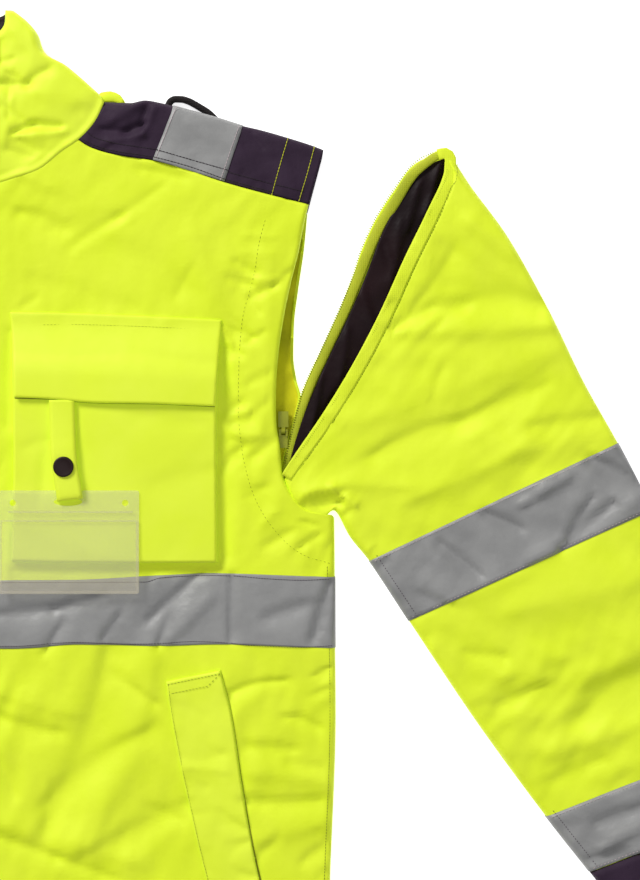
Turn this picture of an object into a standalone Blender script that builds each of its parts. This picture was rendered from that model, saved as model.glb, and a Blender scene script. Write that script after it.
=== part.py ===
"""Hi-vis winter work jacket, laid flat on its back with the left sleeve zipped off.

Metres, +Z up. The origin lies on the centre line at underarm level, on the surface
the jacket rests on; the collar points to +Y and the wearer's left is +X. Sizes are
written in millimetres and turned into metres when a mesh is made.
"""
import math

import bmesh
import bpy
import numpy as np
from mathutils import Vector

MM = 0.001

# ---------------------------------------------------------------- driving sizes, mm
WALL = 3.0              # outer cloth, wadding and lining together
LAYER_SPACE = 7.0       # between the back layer and the front layer lying on it
SEAM = 0.3              # gap at seams and under what lies on a panel
TOP = 2 * WALL + LAYER_SPACE
EDGE_RADIUS = TOP / 2   # how the folded sides round over
EDGE_STRAIGHT = 0.6     # upright strip either side of a side seam
EDGE_PART = 0.4         # half the gap between the layers' edges at a side seam
DEEPEST_FOLD = 2.3
TAPE = 0.5              # reflective tape
RECESS = TAPE + SEAM    # the underside steps in over a tape, so it rests flat

ZIP_HALF = 8.0          # half the front zip's width
FLAP_HALF = 33.0        # half the storm flap's width
HEM_Y = -480.0
NECK_POINT = (112.3, 284.0)
SHOULDER_TIP = (264.4, 250.6)

POCKET_RISE = 4.0       # bellows pocket above the front
FLAP_CLOTH = 1.8
WELT_CLOTH = 2.2
STRAP_WIDTH = 17.0
STRAP_CLOTH = 1.2
STRAP_X = 87.4
BADGE = dict(x=89.5, y=-20.3, width=96.0, height=71.0, thick=0.8)
BADGE_SLOT = dict(x=88.6, y=6.2, width=20.0, height=6.0)
BADGE_HOLES = dict(x=38.6, y=6.8, radius=2.2)
SNAP = dict(x=85.0, y=31.5, radius=7.1, height=2.6)
LINING = 1.0
ZIP_TAPE = 7.0
ZIP_THICK = 1.5
LINING_START = 0.55     # share of the head's first row of cells that its zip tape takes

SLIDER = dict(x=236.6, y=49.0, width=6.0, length=9.0, height=2.2)
PULL = dict(width=7.0, length=13.5, thick=1.1, pin=0.9, eye=1.25, hinge_y=56.3)

# ------------------------------------------------------------- front, top layer, mm
# guide lines across a front, x at each y
# name: rows of (y, x)
FRONT_GUIDES = {
    "zip": [(HEM_Y, ZIP_HALF), (250, ZIP_HALF)],
    "flap": [(HEM_Y, FLAP_HALF), (250, FLAP_HALF)],
    "pocket_left": [(HEM_Y, 49), (250, 49)],
    "neck": [(HEM_Y, 70), (250, 70)],
    "yoke_corner": [(HEM_Y, 94.4), (258, 94.4)],
    "welt_left": [(HEM_Y, 215), (-254, 184), (-161, 163), (-117, 155.7), (-90, 152),
                  (133, 150), (243, 146.7)],
    "welt_right": [(HEM_Y, 246), (-254, 220), (-186, 207), (-109, 193), (-35, 191), (133, 191),
                   (228, 196)],
    "outer": [(HEM_Y, 262), (-254, 269), (-138, 272.9), (-88, 272.4), (-9, 271.2), (-4.5, 267.5),
              (-2.6, 261), (-0.5, 253.8), (4.5, 248.8), (9.4, 244.6), (17.3, 239.6),
              (24.6, 236.5), (48, 234), (60, 232), (74, 231.5), (90, 231.8), (110, 233.4),
              (134.6, 237), (159, 242), (179, 247), (199, 251), (212.8, 254.2)],
}
# rows up a front: y at each guide, cells up to the row, roundness of the outer edge
# name, zip, flap, pocket_left, neck, yoke_corner, welt_left, welt_right, outer, cells, round
FRONT_ROWS = [
    ("hem", -480, -480, -480, -480, -480, -480, -480, -478, 0, 1),
    ("welt_low", -290, -290, -290, -290, -290, -288, -286, -285, 6, 1),
    ("welt_top", -118, -118, -118, -118, -118, -116.6, -108.7, -105, 7, 1),
    ("tape_low", -94, -94, -94, -93, -91, -92, -91, -93.5, 1, 1),
    ("tape_top", -47, -47, -46.7, -46.7, -46.5, -43.5, -42, -44.5, 2, 1),
    ("pocket_low", -35, -35, -34.5, -34.5, -34.5, -34.5, -34.5, -27, 1, 1),
    ("pit", -5, -5, -5, -5, -5, -5, -6, -9, 2, 1),
    ("pit_turn", 12, 12, 12, 12, 12, 12, 6, -2.6, 1, 0),
    ("armhole_low", 28, 28, 28, 28, 28, 27, 22, 4.5, 1, 0),
    ("armhole_bend", 46, 46, 46, 46, 46, 44, 40, 24.6, 1, 0),
    ("flap_low", 79, 79, 78.7, 78, 77, 75, 73.1, 62, 2, 0),
    ("pocket_edge", 128, 128, 128, 127, 126, 124, 122.5, 121, 2, 0),
    ("pocket_top", 133, 133, 133, 132, 131, 129, 127.5, 127, 1, 0),
    ("chest", 185, 187, 189, 195, 208, 196, 183, 172, 3, 0),
    ("top", 222.5, 226.5, 231, 239, 257.4, 243, 228, 212.5, 2, 0),
]
GUIDE_CELLS = (1, 1, 1, 1, 3, 2, 2)     # cells between neighbouring guides
ROUND_ANGLES = (90, 55, 0)              # along a rounded edge, degrees from flat

YOKE_SEAM = [(94.4, 257.7), (105, 251.6), (121, 247), (147, 243), (163, 239), (196, 228),
             (229, 219), (254.2, 212.8)]
SHOULDER = [(116.0, 283.8), (131, 283.4), (160.5, 281), (189, 273.4), (220, 264.7), (240, 259),
            SHOULDER_TIP]
SHOULDER_SQUARE = (0.2, 0.98)           # square to the shoulder's slope
PATCH_TOP = ((160.5, 281), (208.4, 267.3))      # a reflective patch's ends on the shoulder

# ---------------------------------------------------------------- back layer, mm
# back's outer edge, x at each y
BACK_OUTER = [(HEM_Y, 262), (-254, 269), (-138, 272.9), (-88, 272.4), (-9, 271.2), (-4.5, 267.5),
              (-2.6, 261), (-0.5, 253.8), (9.4, 244.4), (22, 237.0), (30.4, 236.6), (55.5, 242.0),
              (70, 245.8), (79, 247.2), (92, 245), (108, 243.5), (130, 244), (155, 247),
              (183, 251), (207, 253.2)]
# name, y in the middle, y at the outer edge, cells up to the row, roundness, recess
BACK_ROWS = [
    ("hem", -480, -478, 0, 1, 0),
    ("below_tape", -95.5, -95.0, 9, 1, 0),
    ("tape_low", -94.5, -94.0, 1, 1, 1),
    ("tape_top", -46.5, -44.0, 2, 1, 1),
    ("above_tape", -45.5, -43.0, 1, 1, 0),
    ("pit", -20, -9, 2, 1, 0),
    ("pit_turn", 0, -2.6, 1, 0, 0),
    ("armhole_low", 20, 9.4, 1, 0, 0),
    ("armhole_turn", 30, 20, 1, 0, 0),
    ("armhole_bend", 40, 30.4, 1, 0, 0),
    ("armhole", 80, 79, 2, 0, 0),
    ("yoke_seam", 205, 206.7, 4, 0, 0),
]
BACK_CELLS = 5          # across half the back, between the rounded edges
NECK_GAP = 4.0          # between the back yoke and the puffed collar
BACK_NECK = [(0, 268), (60, 271), (98, 279.5), NECK_POINT]

# ------------------------------------------------------------------- collar, mm
NECK_SEAM = [(ZIP_HALF, 222.8), (FLAP_HALF, 226.8), (49, 231.3), (70, 239.3), (94.4, 258.0),
             (107, 272.3), NECK_POINT]
COLLAR_RIM = [(ZIP_HALF, 306), (24, 317), (35, 327), (41.4, 332.7), (46.2, 337.8), (50, 347)]
COLLAR_BACK_RIM = [(50, 347), (41.4, 342.1), (20, 334), (0, 331)]
COLLAR_SIDE = [NECK_POINT, (110, 288), (104, 294), (95, 302), (85, 310), (73, 316), (70, 321),
               (67, 330), (60, 339), (50, 347)]
COLLAR_FRONT_CELLS = (6, 5)
COLLAR_BACK_CELLS = 8

# ------------------------------------------------------------------- sleeves, mm
# outer edge and underarm edge at each row, cells up to the row, recess on the underside
# name, outer x, outer y, under x, under y, cells, recess
LEFT_SLEEVE_ROWS = [
    ("head", 352.5, 247.0, 238.2, 22.4, 0, 0),
    ("crown", 366, 226, 246.6, 10.0, 1, 0),
    ("shoulder", 390, 193.5, 256.6, 2.2, 2, 0),
    ("pit", 420, 140.5, 274.0, -1.6, 2, 0),
    ("biceps", 444, 91, 284, -18.5, 2, 0),
    ("above_upper", 467.5, 49.0, 295.4, -32.6, 2, 0),
    ("upper_top", 468, 48, 296, -33.5, 1, 1),
    ("upper_low", 492, 2, 323.5, -75, 2, 1),
    ("below_upper", 492.5, 1, 324.1, -75.9, 1, 0),
    ("elbow", 531, -73, 371, -146, 3, 0),
    ("above_lower", 570.5, -148, 417.4, -209.1, 3, 0),
    ("lower_top", 571, -149, 418, -210, 1, 1),
    ("lower_low", 594, -193, 448, -248, 2, 1),
]
RIGHT_SLEEVE_ROWS = [
    ("head", 265.6, 249.6, 276, -5, 0, 0),
    ("crown", 300, 226, 284, -12, 1, 0),
    ("shoulder", 340, 182, 290, -24, 2, 0),
    ("pit", 380, 134, 295, -37, 2, 0),
    ("biceps", 414, 93, 300, -51, 2, 0),
    ("above_upper", 446.4, 54.4, 305.4, -64.8, 2, 0),
    ("upper_top", 447, 53.6, 306, -65.6, 1, 1),
    ("upper_low", 474, 16, 327, -100, 2, 1),
    ("below_upper", 474.6, 15.2, 327.6, -100.8, 1, 0),
    ("elbow", 522, -51, 384, -158, 3, 0),
    ("above_lower", 565.4, -111.2, 435.4, -212.2, 3, 0),
    ("lower_top", 566, -112, 436, -213, 1, 1),
    ("lower_low", 593, -149, 468, -246, 2, 1),
]
# where the cuff ends: outer x, outer y, under x, under y
LEFT_CUFF = (640, -287, 517, -336)
RIGHT_CUFF = (652, -233, 545, -321)
CUFF_CELLS = 3
ARMHOLE_GAP = 2.0       # between the right sleeve and the armhole it is zipped to
SLEEVE_CELLS = dict(top=7, under=5)     # across a sleeve, between the rounded edges
# head edges of the detached sleeve, from the outer edge to the underarm
LEFT_HEAD_FRONT = [(352.5, 247.0), (354.5, 242.7), (353.6, 229.5), (346, 210.6), (331, 180),
                   (314, 142.5), (295, 106.5), (276, 77), (255, 50), (238.2, 22.4)]
LEFT_HEAD_BACK = [(352.5, 247.0), (347, 250.7), (338, 247), (327, 241), (314, 224), (300.6, 203),
                  (291, 182), (283.6, 159.5), (271, 130), (261, 108), (251, 86), (247, 72),
                  (243, 55.5), (237.8, 32), (238.2, 22.4)]

# ------------------------------------------------------------------- folds, mm
# one ridge (+) or trough (-) a row: x and y of both ends, width, height
LEFT_FOLDS = [
    (153, 228, 99, 192, 24, -2.2),
    (56, 206, 88, 199, 22, -2.0),
    (118, 176, 172, 196, 30, 1.8),
    (228, 170, 221, 60, 20, 1.6),
    (115, -120, 74, -218, 32, -2.3),
    (146, -130, 108, -225, 32, 2.4),
    (48, -128, 84, -150, 24, -1.6),
    (44, -215, 134, -240, 26, 1.8),
    (41, -240, 134, -262, 22, -2.0),
    (209, -196, 257, -208, 24, -2.2),
    (222, -150, 252, -160, 24, 1.6),
    (60, -330, 180, -345, 36, -2.2),
    (60, -380, 150, -415, 38, 2.4),
    (225, -320, 258, -380, 28, -1.8),
]
RIGHT_FOLDS = [
    (70, 178, 140, 212, 28, -2.2),
    (90, 120, 175, 150, 36, 1.8),
    (226, 165, 222, 70, 20, 1.6),
    (90, -20, 182, 40, 42, 2.0),
    (84, -130, 152, -190, 32, -2.3),
    (60, -255, 165, -240, 34, 2.2),
    (212, -300, 255, -330, 26, -2.0),
    (50, -385, 196, -400, 32, -2.2),
]
LEFT_SLEEVE_FOLDS = [
    (352, 180, 412, 142, 26, -2.3),
    (372, 200, 398, 172, 26, 1.8),
    (330, 118, 420, 122, 30, 2.0),
    (318, 48, 433, 93, 28, -2.3),
    (330, 10, 404, 44, 30, 2.0),
    (386, -132, 420, -117, 24, -2.0),
    (400, -70, 480, -52, 34, 2.2),
    (442, -141, 500, -104, 28, -2.3),
    (430, -180, 470, -166, 24, 1.6),
]
RIGHT_SLEEVE_FOLDS = [
    (292, 15, 360, 88, 28, -2.3),
    (292, 70, 352, 160, 32, 2.2),
    (312, -20, 400, 42, 30, 2.0),
    (396, -92, 472, -60, 28, -2.3),
    (436, -150, 520, -118, 34, 2.2),
    (470, -214, 536, -172, 26, -2.0),
]
COLLAR_FOLDS = [
    (72, 312, 46, 292, 20, -1.8),
    (98, 284, 62, 262, 34, 2.2),
    (55, 325, 30, 312, 24, 1.8),
]

CORD_RADIUS = 2.4
CORD_ROUTE = [(156.5, 281.9), (158.3, 285.2), (161.6, 286.7), (165.8, 286.6), (170.4, 285.4),
              (174.8, 283.2), (179.0, 280.7), (183.0, 278.3)]
CORD_Z = 2.6
CORD_SIDE = -0.2        # how far the loop's ends stand off the shoulder's edge


# ---------------------------------------------------------------- scene and helpers
def clear_scene():
    """Remove what a new file starts with."""
    for item in list(bpy.data.objects):
        bpy.data.objects.remove(item, do_unlink=True)


def make_collection(name):
    """A collection under the scene's own."""
    collection = bpy.data.collections.new(name)
    bpy.context.scene.collection.children.link(collection)
    return collection


def material(name, colour, roughness, metallic=0.0):
    """A Principled material of one finish."""
    made = bpy.data.materials.new(name)
    made.use_nodes = True
    shader = made.node_tree.nodes["Principled BSDF"]
    shader.inputs["Base Color"].default_value = (*colour, 1.0)
    shader.inputs["Roughness"].default_value = roughness
    shader.inputs["Metallic"].default_value = metallic
    made.diffuse_color = (*colour, 1.0)
    return made


def along(points, places):
    """Points at the given shares of a line's length."""
    line = np.array(points, dtype=float)
    steps = np.linalg.norm(np.diff(line, axis=0), axis=1)
    travelled = np.concatenate(([0.0], np.cumsum(steps))) / steps.sum()
    return np.stack([np.interp(places, travelled, line[:, axis]) for axis in (0, 1)], axis=-1)


def at_height(table, y):
    """x of a guide line at height y, from rows of (y, x)."""
    heights, sides = zip(*table)
    return np.interp(y, heights, sides)


def spread(cells):
    """Shares from 0 to 1, ends included."""
    return np.linspace(0.0, 1.0, cells + 1)


def fold_height(folds, x, y):
    """Summed ridges and troughs at a place, no deeper than the layers allow."""
    total = 0.0
    for x0, y0, x1, y1, width, height in folds:
        run = np.array((x1 - x0, y1 - y0), dtype=float)
        share = ((x - x0) * run[0] + (y - y0) * run[1]) / (run @ run)
        nearest = min(max(share, 0.0), 1.0)
        away = math.hypot(x - x0 - nearest * run[0], y - y0 - nearest * run[1])
        total += height * math.exp(-(2 * away / width) ** 2)
    return max(total, -DEEPEST_FOLD)


def round_offsets():
    """How far in from a rounded edge, and how far below the top, its points lie."""
    radius = EDGE_RADIUS - EDGE_STRAIGHT - EDGE_PART
    inward = [0.0]
    below = [EDGE_RADIUS - EDGE_PART]
    for angle in ROUND_ANGLES:
        inward.append(radius * (1 - math.sin(math.radians(angle))) + 0.02)
        below.append(radius * (1 - math.cos(math.radians(angle))))
    return np.array(inward), np.array(below)


def rounded_top(folds, x, y, drop):
    """Height of the top layer, its folds fading out down a rounded edge."""
    return TOP + fold_height(folds, x, y) * (1 - drop / (EDGE_RADIUS - EDGE_PART)) - drop


def rounded_under(drop, recess):
    """Height of the underside, its recess fading out up a rounded edge."""
    return drop + recess * (1 - drop / (EDGE_RADIUS - EDGE_PART))


def edge_places(roundness):
    """Edge points' offsets for a round edge (1) or a flat one (0)."""
    inward, below = round_offsets()
    flat = np.arange(len(inward)) * 2.5
    return inward * roundness + flat * (1 - roundness), below * roundness


def normals(grid, wrap=False):
    """Unit normals of a grid of points, from its rows and columns."""
    if wrap:
        padded = np.concatenate((grid[:, -1:], grid, grid[:, :1]), axis=1)
        across = np.gradient(padded, axis=1)[:, 1:-1]
    else:
        across = np.gradient(grid, axis=1)
    up = np.gradient(grid, axis=0)
    facing = np.cross(across, up)
    return facing / np.linalg.norm(facing, axis=2, keepdims=True)


def moved_out(grid, distance, wrap=False):
    """The same grid, every point moved along its normal."""
    return grid + normals(grid, wrap) * distance


def mirrored(grid):
    """The grid's mirror image in the centre plane, still facing the same way."""
    return grid[:, ::-1] * np.array((-1.0, 1.0, 1.0))


def grid_object(name, grid, thickness, outwards, finish, wrap=False):
    """A wall from a grid of points: an open surface of triangles with Solidify."""
    rows, columns = grid.shape[:2]
    mesh = bpy.data.meshes.new(name)
    faces = []
    for row in range(rows - 1):
        for column in range(columns if wrap else columns - 1):
            following = (column + 1) % columns
            a = row * columns + column
            b = row * columns + following
            c = (row + 1) * columns + following
            d = (row + 1) * columns + column
            faces += [(a, b, c), (a, c, d)]
    mesh.from_pydata((grid.reshape(-1, 3) * MM).tolist(), [], faces)
    wall = place(name, mesh, finish)
    solidify = wall.modifiers.new("Wall", "SOLIDIFY")
    solidify.thickness = thickness * MM
    solidify.offset = 1.0 if outwards else -1.0
    return wall


def place(name, mesh, finish):
    """Put a finished mesh into the jacket's collection."""
    made = bpy.data.objects.new(name, mesh)
    made.data.materials.append(finish)
    JACKET.objects.link(made)
    return made


def mesh_from(builder, name):
    """A mesh from a finished bmesh."""
    mesh = bpy.data.meshes.new(name)
    builder.to_mesh(mesh)
    builder.free()
    return mesh


def block(name, centre, size, finish, bevel=0.0):
    """A box of a size in millimetres, its edges rounded by a Bevel."""
    builder = bmesh.new()
    bmesh.ops.create_cube(builder, size=1.0)
    bmesh.ops.scale(builder, vec=Vector(size) * MM, verts=builder.verts)
    bmesh.ops.translate(builder, vec=Vector(centre) * MM, verts=builder.verts)
    made = place(name, mesh_from(builder, name), finish)
    if bevel:
        rounding = made.modifiers.new("Bevel", "BEVEL")
        rounding.width = bevel * MM
        rounding.segments = 2
    return made


def cylinder_mesh(name, radius, depth, matrix_turn=None, segments=24):
    """A cylinder about Z, or turned by a matrix, centred on its origin."""
    builder = bmesh.new()
    bmesh.ops.create_cone(builder, cap_ends=True, segments=segments, radius1=radius * MM,
                          radius2=radius * MM, depth=depth * MM)
    if matrix_turn is not None:
        bmesh.ops.transform(builder, matrix=matrix_turn, verts=builder.verts)
    return mesh_from(builder, name)


def cutter(name, mesh, centre):
    """A hidden shape for a Boolean."""
    made = bpy.data.objects.new(name, mesh)
    made.location = Vector(centre) * MM
    made.hide_render = True
    made.display_type = "WIRE"
    CUTTERS.objects.link(made)
    return made


def boolean(target, tool, operation="DIFFERENCE"):
    """Cut or join with the exact solver."""
    step = target.modifiers.new(tool.name, "BOOLEAN")
    step.operation = operation
    step.object = tool
    return step


# ------------------------------------------------------------------ top and back layers
def front_row(row):
    """One row of a front: plan points from the zip to the outer edge, and their drops."""
    names = list(FRONT_GUIDES)
    heights = row[1:1 + len(names)]
    posts = [(at_height(FRONT_GUIDES[name], y), y) for name, y in zip(names, heights)]
    inward, below = edge_places(row[-1])
    points = []
    for left, right, cells in zip(posts, posts[1:], GUIDE_CELLS):
        stop = np.array(right)
        if right is posts[-1]:
            stop = stop - np.array((inward[-1], 0.0))
        points += [np.array(left) * (1 - share) + stop * share for share in spread(cells)[:-1]]
    drops = [0.0] * len(points)
    for distance, drop in zip(inward[::-1], below[::-1]):
        points.append(np.array(posts[-1]) - np.array((distance, 0.0)))
        drops.append(drop)
    return np.array(points), np.array(drops)


def between_rows(table, first_number):
    """Rows filled in between the named ones, numbers blended; yields name, row."""
    previous = None
    for row in table:
        cells = row[first_number]
        for step in range(1, cells):
            share = step / cells
            mixed = [low * (1 - share) + high * share
                     for low, high in zip(previous[1:], row[1:])]
            yield "", (row[0], *mixed)
        yield row[0], row
        previous = row


def front_grid(folds):
    """The left front's outer surface, and the numbers of its named rows."""
    rows, marks = [], {}
    for name, row in between_rows(FRONT_ROWS, -2):
        points, drops = front_row(row)
        heights = [rounded_top(folds, x, y, drop) for (x, y), drop in zip(points, drops)]
        if name:
            marks[name] = len(rows)
        rows.append(np.column_stack((points, heights)))
    grid = np.array(rows)
    follow_seam(grid)
    return grid, marks


def follow_seam(grid):
    """Bend a front's top rows to the curved yoke seam."""
    seam_x, seam_y = zip(*YOKE_SEAM)
    first = guide_column("yoke_corner")
    shift = np.interp(grid[-1, first:, 0], seam_x, seam_y) - 0.3 - grid[-1, first:, 1]
    grid[-1, first:, 1] += shift
    grid[-2, first:, 1] += shift / 2


def back_grid():
    """The back layer's underside, rounded up at both sides, and its named rows."""
    rows, marks = [], {}
    for name, row in between_rows(BACK_ROWS, -3):
        middle_y, side_y, roundness, recess = row[1], row[2], row[-2], row[-1] * RECESS
        inward, below = edge_places(roundness)
        x_out = at_height(BACK_OUTER, side_y)
        half = [(x_out - recess * roundness - distance, rounded_under(drop, recess))
                for distance, drop in zip(inward, below)]
        flat_x = x_out - recess * roundness - inward[-1]
        half += [(flat_x * (1 - share), recess) for share in spread(BACK_CELLS)[1:]]
        line = []
        for x, z in half:
            y = middle_y + (side_y - middle_y) * (x / x_out) ** 2
            line.append((x, y, z))
        line += [(-x, y, z) for x, y, z in line[-2::-1]]
        if name:
            marks[name] = len(rows)
        rows.append(line)
    return np.array(rows), marks


def front_yoke_grid(folds, front):
    """The left yoke's top layer, on the front's columns, rounded over along the shoulder."""
    low = front[-1, guide_column("yoke_corner"):, :2] + np.array((0.2, 0.45))
    low = np.delete(low, -2, axis=0)
    shoulder_x, shoulder_y = zip(*SHOULDER)
    (left_x, _), (right_x, _) = PATCH_TOP
    posts = (low[0, 0], low[3, 0], low[5, 0], low[-1, 0])
    high_x = np.interp(low[:, 0], posts, (SHOULDER[0][0], left_x, right_x, SHOULDER_TIP[0]))
    high = np.column_stack((high_x, np.interp(high_x, shoulder_x, shoulder_y)))
    inward, below = edge_places(1)
    away = np.outer(np.ones(len(high)), SHOULDER_SQUARE)
    flat_end = high - away * inward[-1]
    rows = []
    for share in (0.0, 0.5, 1.0):
        flat = low * (1 - share) + flat_end * share
        rows.append([(x, y, TOP + fold_height(folds, x, y)) for x, y in flat])
    for distance, drop in list(zip(inward, below))[-2::-1]:
        line = high - away * distance
        rows.append([(x, y, rounded_top(folds, x, y, drop)) for x, y in line])
    return np.array(rows)


def back_yoke_grid():
    """The back yoke's underside, from the seam up to the shoulders and the back neck."""
    half = along(SHOULDER, spread(8))[::-1]
    neck = along(BACK_NECK, spread(5))[::-1] - np.array((0.0, NECK_GAP))
    top_half = np.concatenate((half, neck[1:]))
    top = np.concatenate((top_half, (top_half * (-1, 1))[-2::-1]))
    seam = [(x * 253.2 / SHOULDER_TIP[0], 205.4 + 1.9 * (x / SHOULDER_TIP[0]) ** 2)
            for x, _ in top]
    shoulder = np.array([1.0] * len(half) + [0.0] * (len(neck) - 1))
    roundness = np.concatenate((shoulder, shoulder[-2::-1]))
    rows = [[] for _ in range(3 + len(ROUND_ANGLES))]
    for (x, y), (seam_x, seam_y), round_here in zip(top, seam, roundness):
        inward, below = edge_places(round_here)
        lean = SHOULDER_SQUARE[0] * np.sign(x) * round_here
        stop = (x - lean * inward[-1], y - SHOULDER_SQUARE[1] * inward[-1])
        rows[0].append((seam_x, seam_y, 0.0))
        rows[1].append(((seam_x + stop[0]) / 2, (seam_y + stop[1]) / 2, 0.0))
        for number, (distance, drop) in enumerate(zip(inward[::-1], below[::-1])):
            rows[2 + number].append((x - lean * distance, y - SHOULDER_SQUARE[1] * distance,
                                     drop))
    return np.array(rows)


# --------------------------------------------------------------------------- collar
def coons(bottom, top, left, right, columns, rows):
    """Points of a four-sided patch filled in between its edge lines."""
    low, high = along(bottom, columns), along(top, columns)
    first, last = along(left, rows), along(right, rows)
    patch = []
    for v, start, end in zip(rows, first, last):
        line = []
        for u, below, above in zip(columns, low, high):
            ruled = below * (1 - v) + above * v + start * (1 - u) + end * u
            corner = ((low[0] * (1 - u) + low[-1] * u) * (1 - v)
                      + (high[0] * (1 - u) + high[-1] * u) * v)
            line.append(ruled - corner)
        patch.append(line)
    return np.array(patch)


def collar_grid():
    """The collar's outer surface: front end, round one side, the back, to the other end."""
    rows = spread(COLLAR_FRONT_CELLS[1])
    inward, below = edge_places(1)
    centre_line = [NECK_SEAM[0], COLLAR_RIM[0]]
    front = coons(NECK_SEAM, COLLAR_RIM, centre_line, COLLAR_SIDE, spread(COLLAR_FRONT_CELLS[0]),
                  rows)
    side_mirror = [(-x, y) for x, y in COLLAR_SIDE]
    back_rim = COLLAR_BACK_RIM + [(-x, y) for x, y in COLLAR_BACK_RIM[-2::-1]]
    back_neck = BACK_NECK[::-1] + [(-x, y) for x, y in BACK_NECK[1:]]
    back = coons(back_neck, back_rim, COLLAR_SIDE, side_mirror, spread(COLLAR_BACK_CELLS), rows)
    grid = []
    for front_line, back_line in zip(front, back):
        out = front_line[-1]
        flat_end = out - np.array((inward[-1], 0.0))
        shift = np.linspace(0.0, 1.0, len(front_line))[:, None] ** 2 * (flat_end - out)
        line = [(x, y, TOP + fold_height(COLLAR_FOLDS, x, y))
                for x, y in front_line + shift]
        line += [(out[0] - distance, out[1], TOP - drop)
                 for distance, drop in list(zip(inward, below))[-2:0:-1]]
        line.append((out[0], out[1], TOP / 2))
        line += [(out[0] - distance, out[1], drop)
                 for distance, drop in list(zip(inward, below))[1:-1]]
        widths = back_line[:, 0] * (out[0] - inward[-1]) / out[0]
        back_points = [(x, y, 0.0) for x, (_, y) in zip(widths, back_line)]
        half = len(back_points) // 2
        line += back_points[:half + 1]
        line += [(-x, y, z) for x, y, z in line[-2::-1]]
        grid.append(line)
    return np.array(grid)


# --------------------------------------------------------------------------- sleeves
def sleeve_row(ends, folds, recess, upper, bow=None):
    """Points across a sleeve from its underarm edge to its outer edge."""
    outer, under = np.array(ends[:2], dtype=float), np.array(ends[2:4], dtype=float)
    across = (outer - under) / np.linalg.norm(outer - under)
    inward, below = edge_places(1)
    depth = recess
    first, last = under + across * depth, outer - across * depth
    cells = SLEEVE_CELLS["top" if upper else "under"]
    middle = [first + across * inward[-1] + (last - first - 2 * across * inward[-1]) * share
              for share in spread(cells)]
    if bow is not None:
        middle = list(along(bow[::-1], spread(cells + 2))[1:-1])
    rounded = list(zip(inward, below))[:-1]
    plan = [(first + across * distance, drop) for distance, drop in rounded]
    plan += [(point, 0.0) for point in middle]
    plan += [(last - across * distance, drop) for distance, drop in rounded[::-1]]
    if upper:
        return [(x, y, rounded_top(folds, x, y, drop)) for (x, y), drop in plan]
    return [(x, y, rounded_under(drop, recess)) for (x, y), drop in plan]


def sleeve_grid(table, folds, upper, head):
    """A sleeve's top or under panel, and its named rows."""
    rows, marks = [], {}
    for name, row in between_rows(table, -2):
        recess = 0.0 if upper else row[-1] * RECESS
        if name:
            marks[name] = len(rows)
        bow = head if name == "head" else None
        rows.append(sleeve_row(row[1:5], folds, recess, upper, bow))
    grid = np.array(rows)
    ease_head(grid, slice(len(ROUND_ANGLES), -len(ROUND_ANGLES)))
    return grid, marks


def ease_head(grid, columns):
    """Bend the rows after the head so that its curve dies away evenly."""
    straight = np.linspace(grid[0, columns][0, :2], grid[0, columns][-1, :2],
                           grid[0, columns].shape[0])
    bend = grid[0, columns][:, :2] - straight
    for row, share in ((1, 0.8), (2, 0.62), (3, 0.45), (4, 0.3), (5, 0.18), (6, 0.08)):
        grid[row, columns, :2] += bend * share


def ring_from(upper, under):
    """A closed ring of columns: the top panel's points, then the under panel's back."""
    return np.concatenate((upper, under[:, ::-1]), axis=1)


def cuff_grid(table, ends):
    """The dark cuff: a tube from the sleeve's end to the wrist."""
    start = np.array(table[-1][1:5], dtype=float)
    stop = np.array(ends, dtype=float)
    away = (stop - start) / np.linalg.norm(stop[:2] - start[:2])
    rows = []
    for share in spread(CUFF_CELLS):
        here = (start + away * 3 * SEAM) * (1 - share) + stop * share
        top = sleeve_row(here, [], 0.0, True)
        under = sleeve_row(here, [], 0.0, False)
        rows.append(top + under[::-1])
    return np.array(rows)


def lay_sleeve(side_name, table, folds, heads, cuff_end, side, yellow, silver, dark):
    """Both panels, both tapes and the cuff of one sleeve."""
    top, marks = sleeve_grid(table, folds, True, heads[0])
    under, _ = sleeve_grid(table, folds, False, heads[1])
    pieces = [(f"sleeve_{side_name}_front", top, WALL, False, yellow, False),
              (f"sleeve_{side_name}_back", under[:, ::-1], WALL, False, yellow, False),
              (f"cuff_{side_name}", cuff_grid(table, cuff_end), WALL, False, dark, True)]
    ring = ring_from(top, under)
    skin = moved_out(ring, -SEAM, True)
    for place_name in ("upper", "lower"):
        rows = slice(marks[f"{place_name}_top"], marks[f"{place_name}_low"] + 1)
        pieces.append((f"sleeve_{side_name}_band_{place_name}", skin[rows], -TAPE, False, silver,
                       True))
    for name, grid, wall, outwards, finish, wrap in pieces:
        turned = grid[::-1]
        shown = turned if side > 0 else mirrored(turned)
        grid_object(name, shown, wall, outwards, finish, wrap)
    return top, under


# ----------------------------------------------------------- what lies on the panels
def between(grid, marks, low, high, columns, rise):
    """Part of a panel, between named rows and columns, moved out."""
    return moved_out(grid, rise)[marks[low]:marks[high] + 1, columns[0]:columns[1] + 1]


def guide_column(name):
    """The column of a front's grid that a guide line runs along."""
    return sum(GUIDE_CELLS[:list(FRONT_GUIDES).index(name)])


def torso_tapes(left, right, marks, back, back_marks, silver):
    """Reflective tape round the body, parted at the side seams."""
    last = left.shape[1] - 1
    for name, grid in (("left", left), ("right", mirrored(right))):
        strip = between(grid, marks, "tape_low", "tape_top", (0, last), SEAM)
        shown = strip if name == "left" else mirrored(strip)
        grid_object(f"torso_band_front_{name}", shown, TAPE, True, silver)
    rows = slice(back_marks["tape_low"], back_marks["tape_top"] + 1)
    grid_object("torso_band_back", moved_out(back, SEAM)[rows], TAPE, True, silver)


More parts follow.
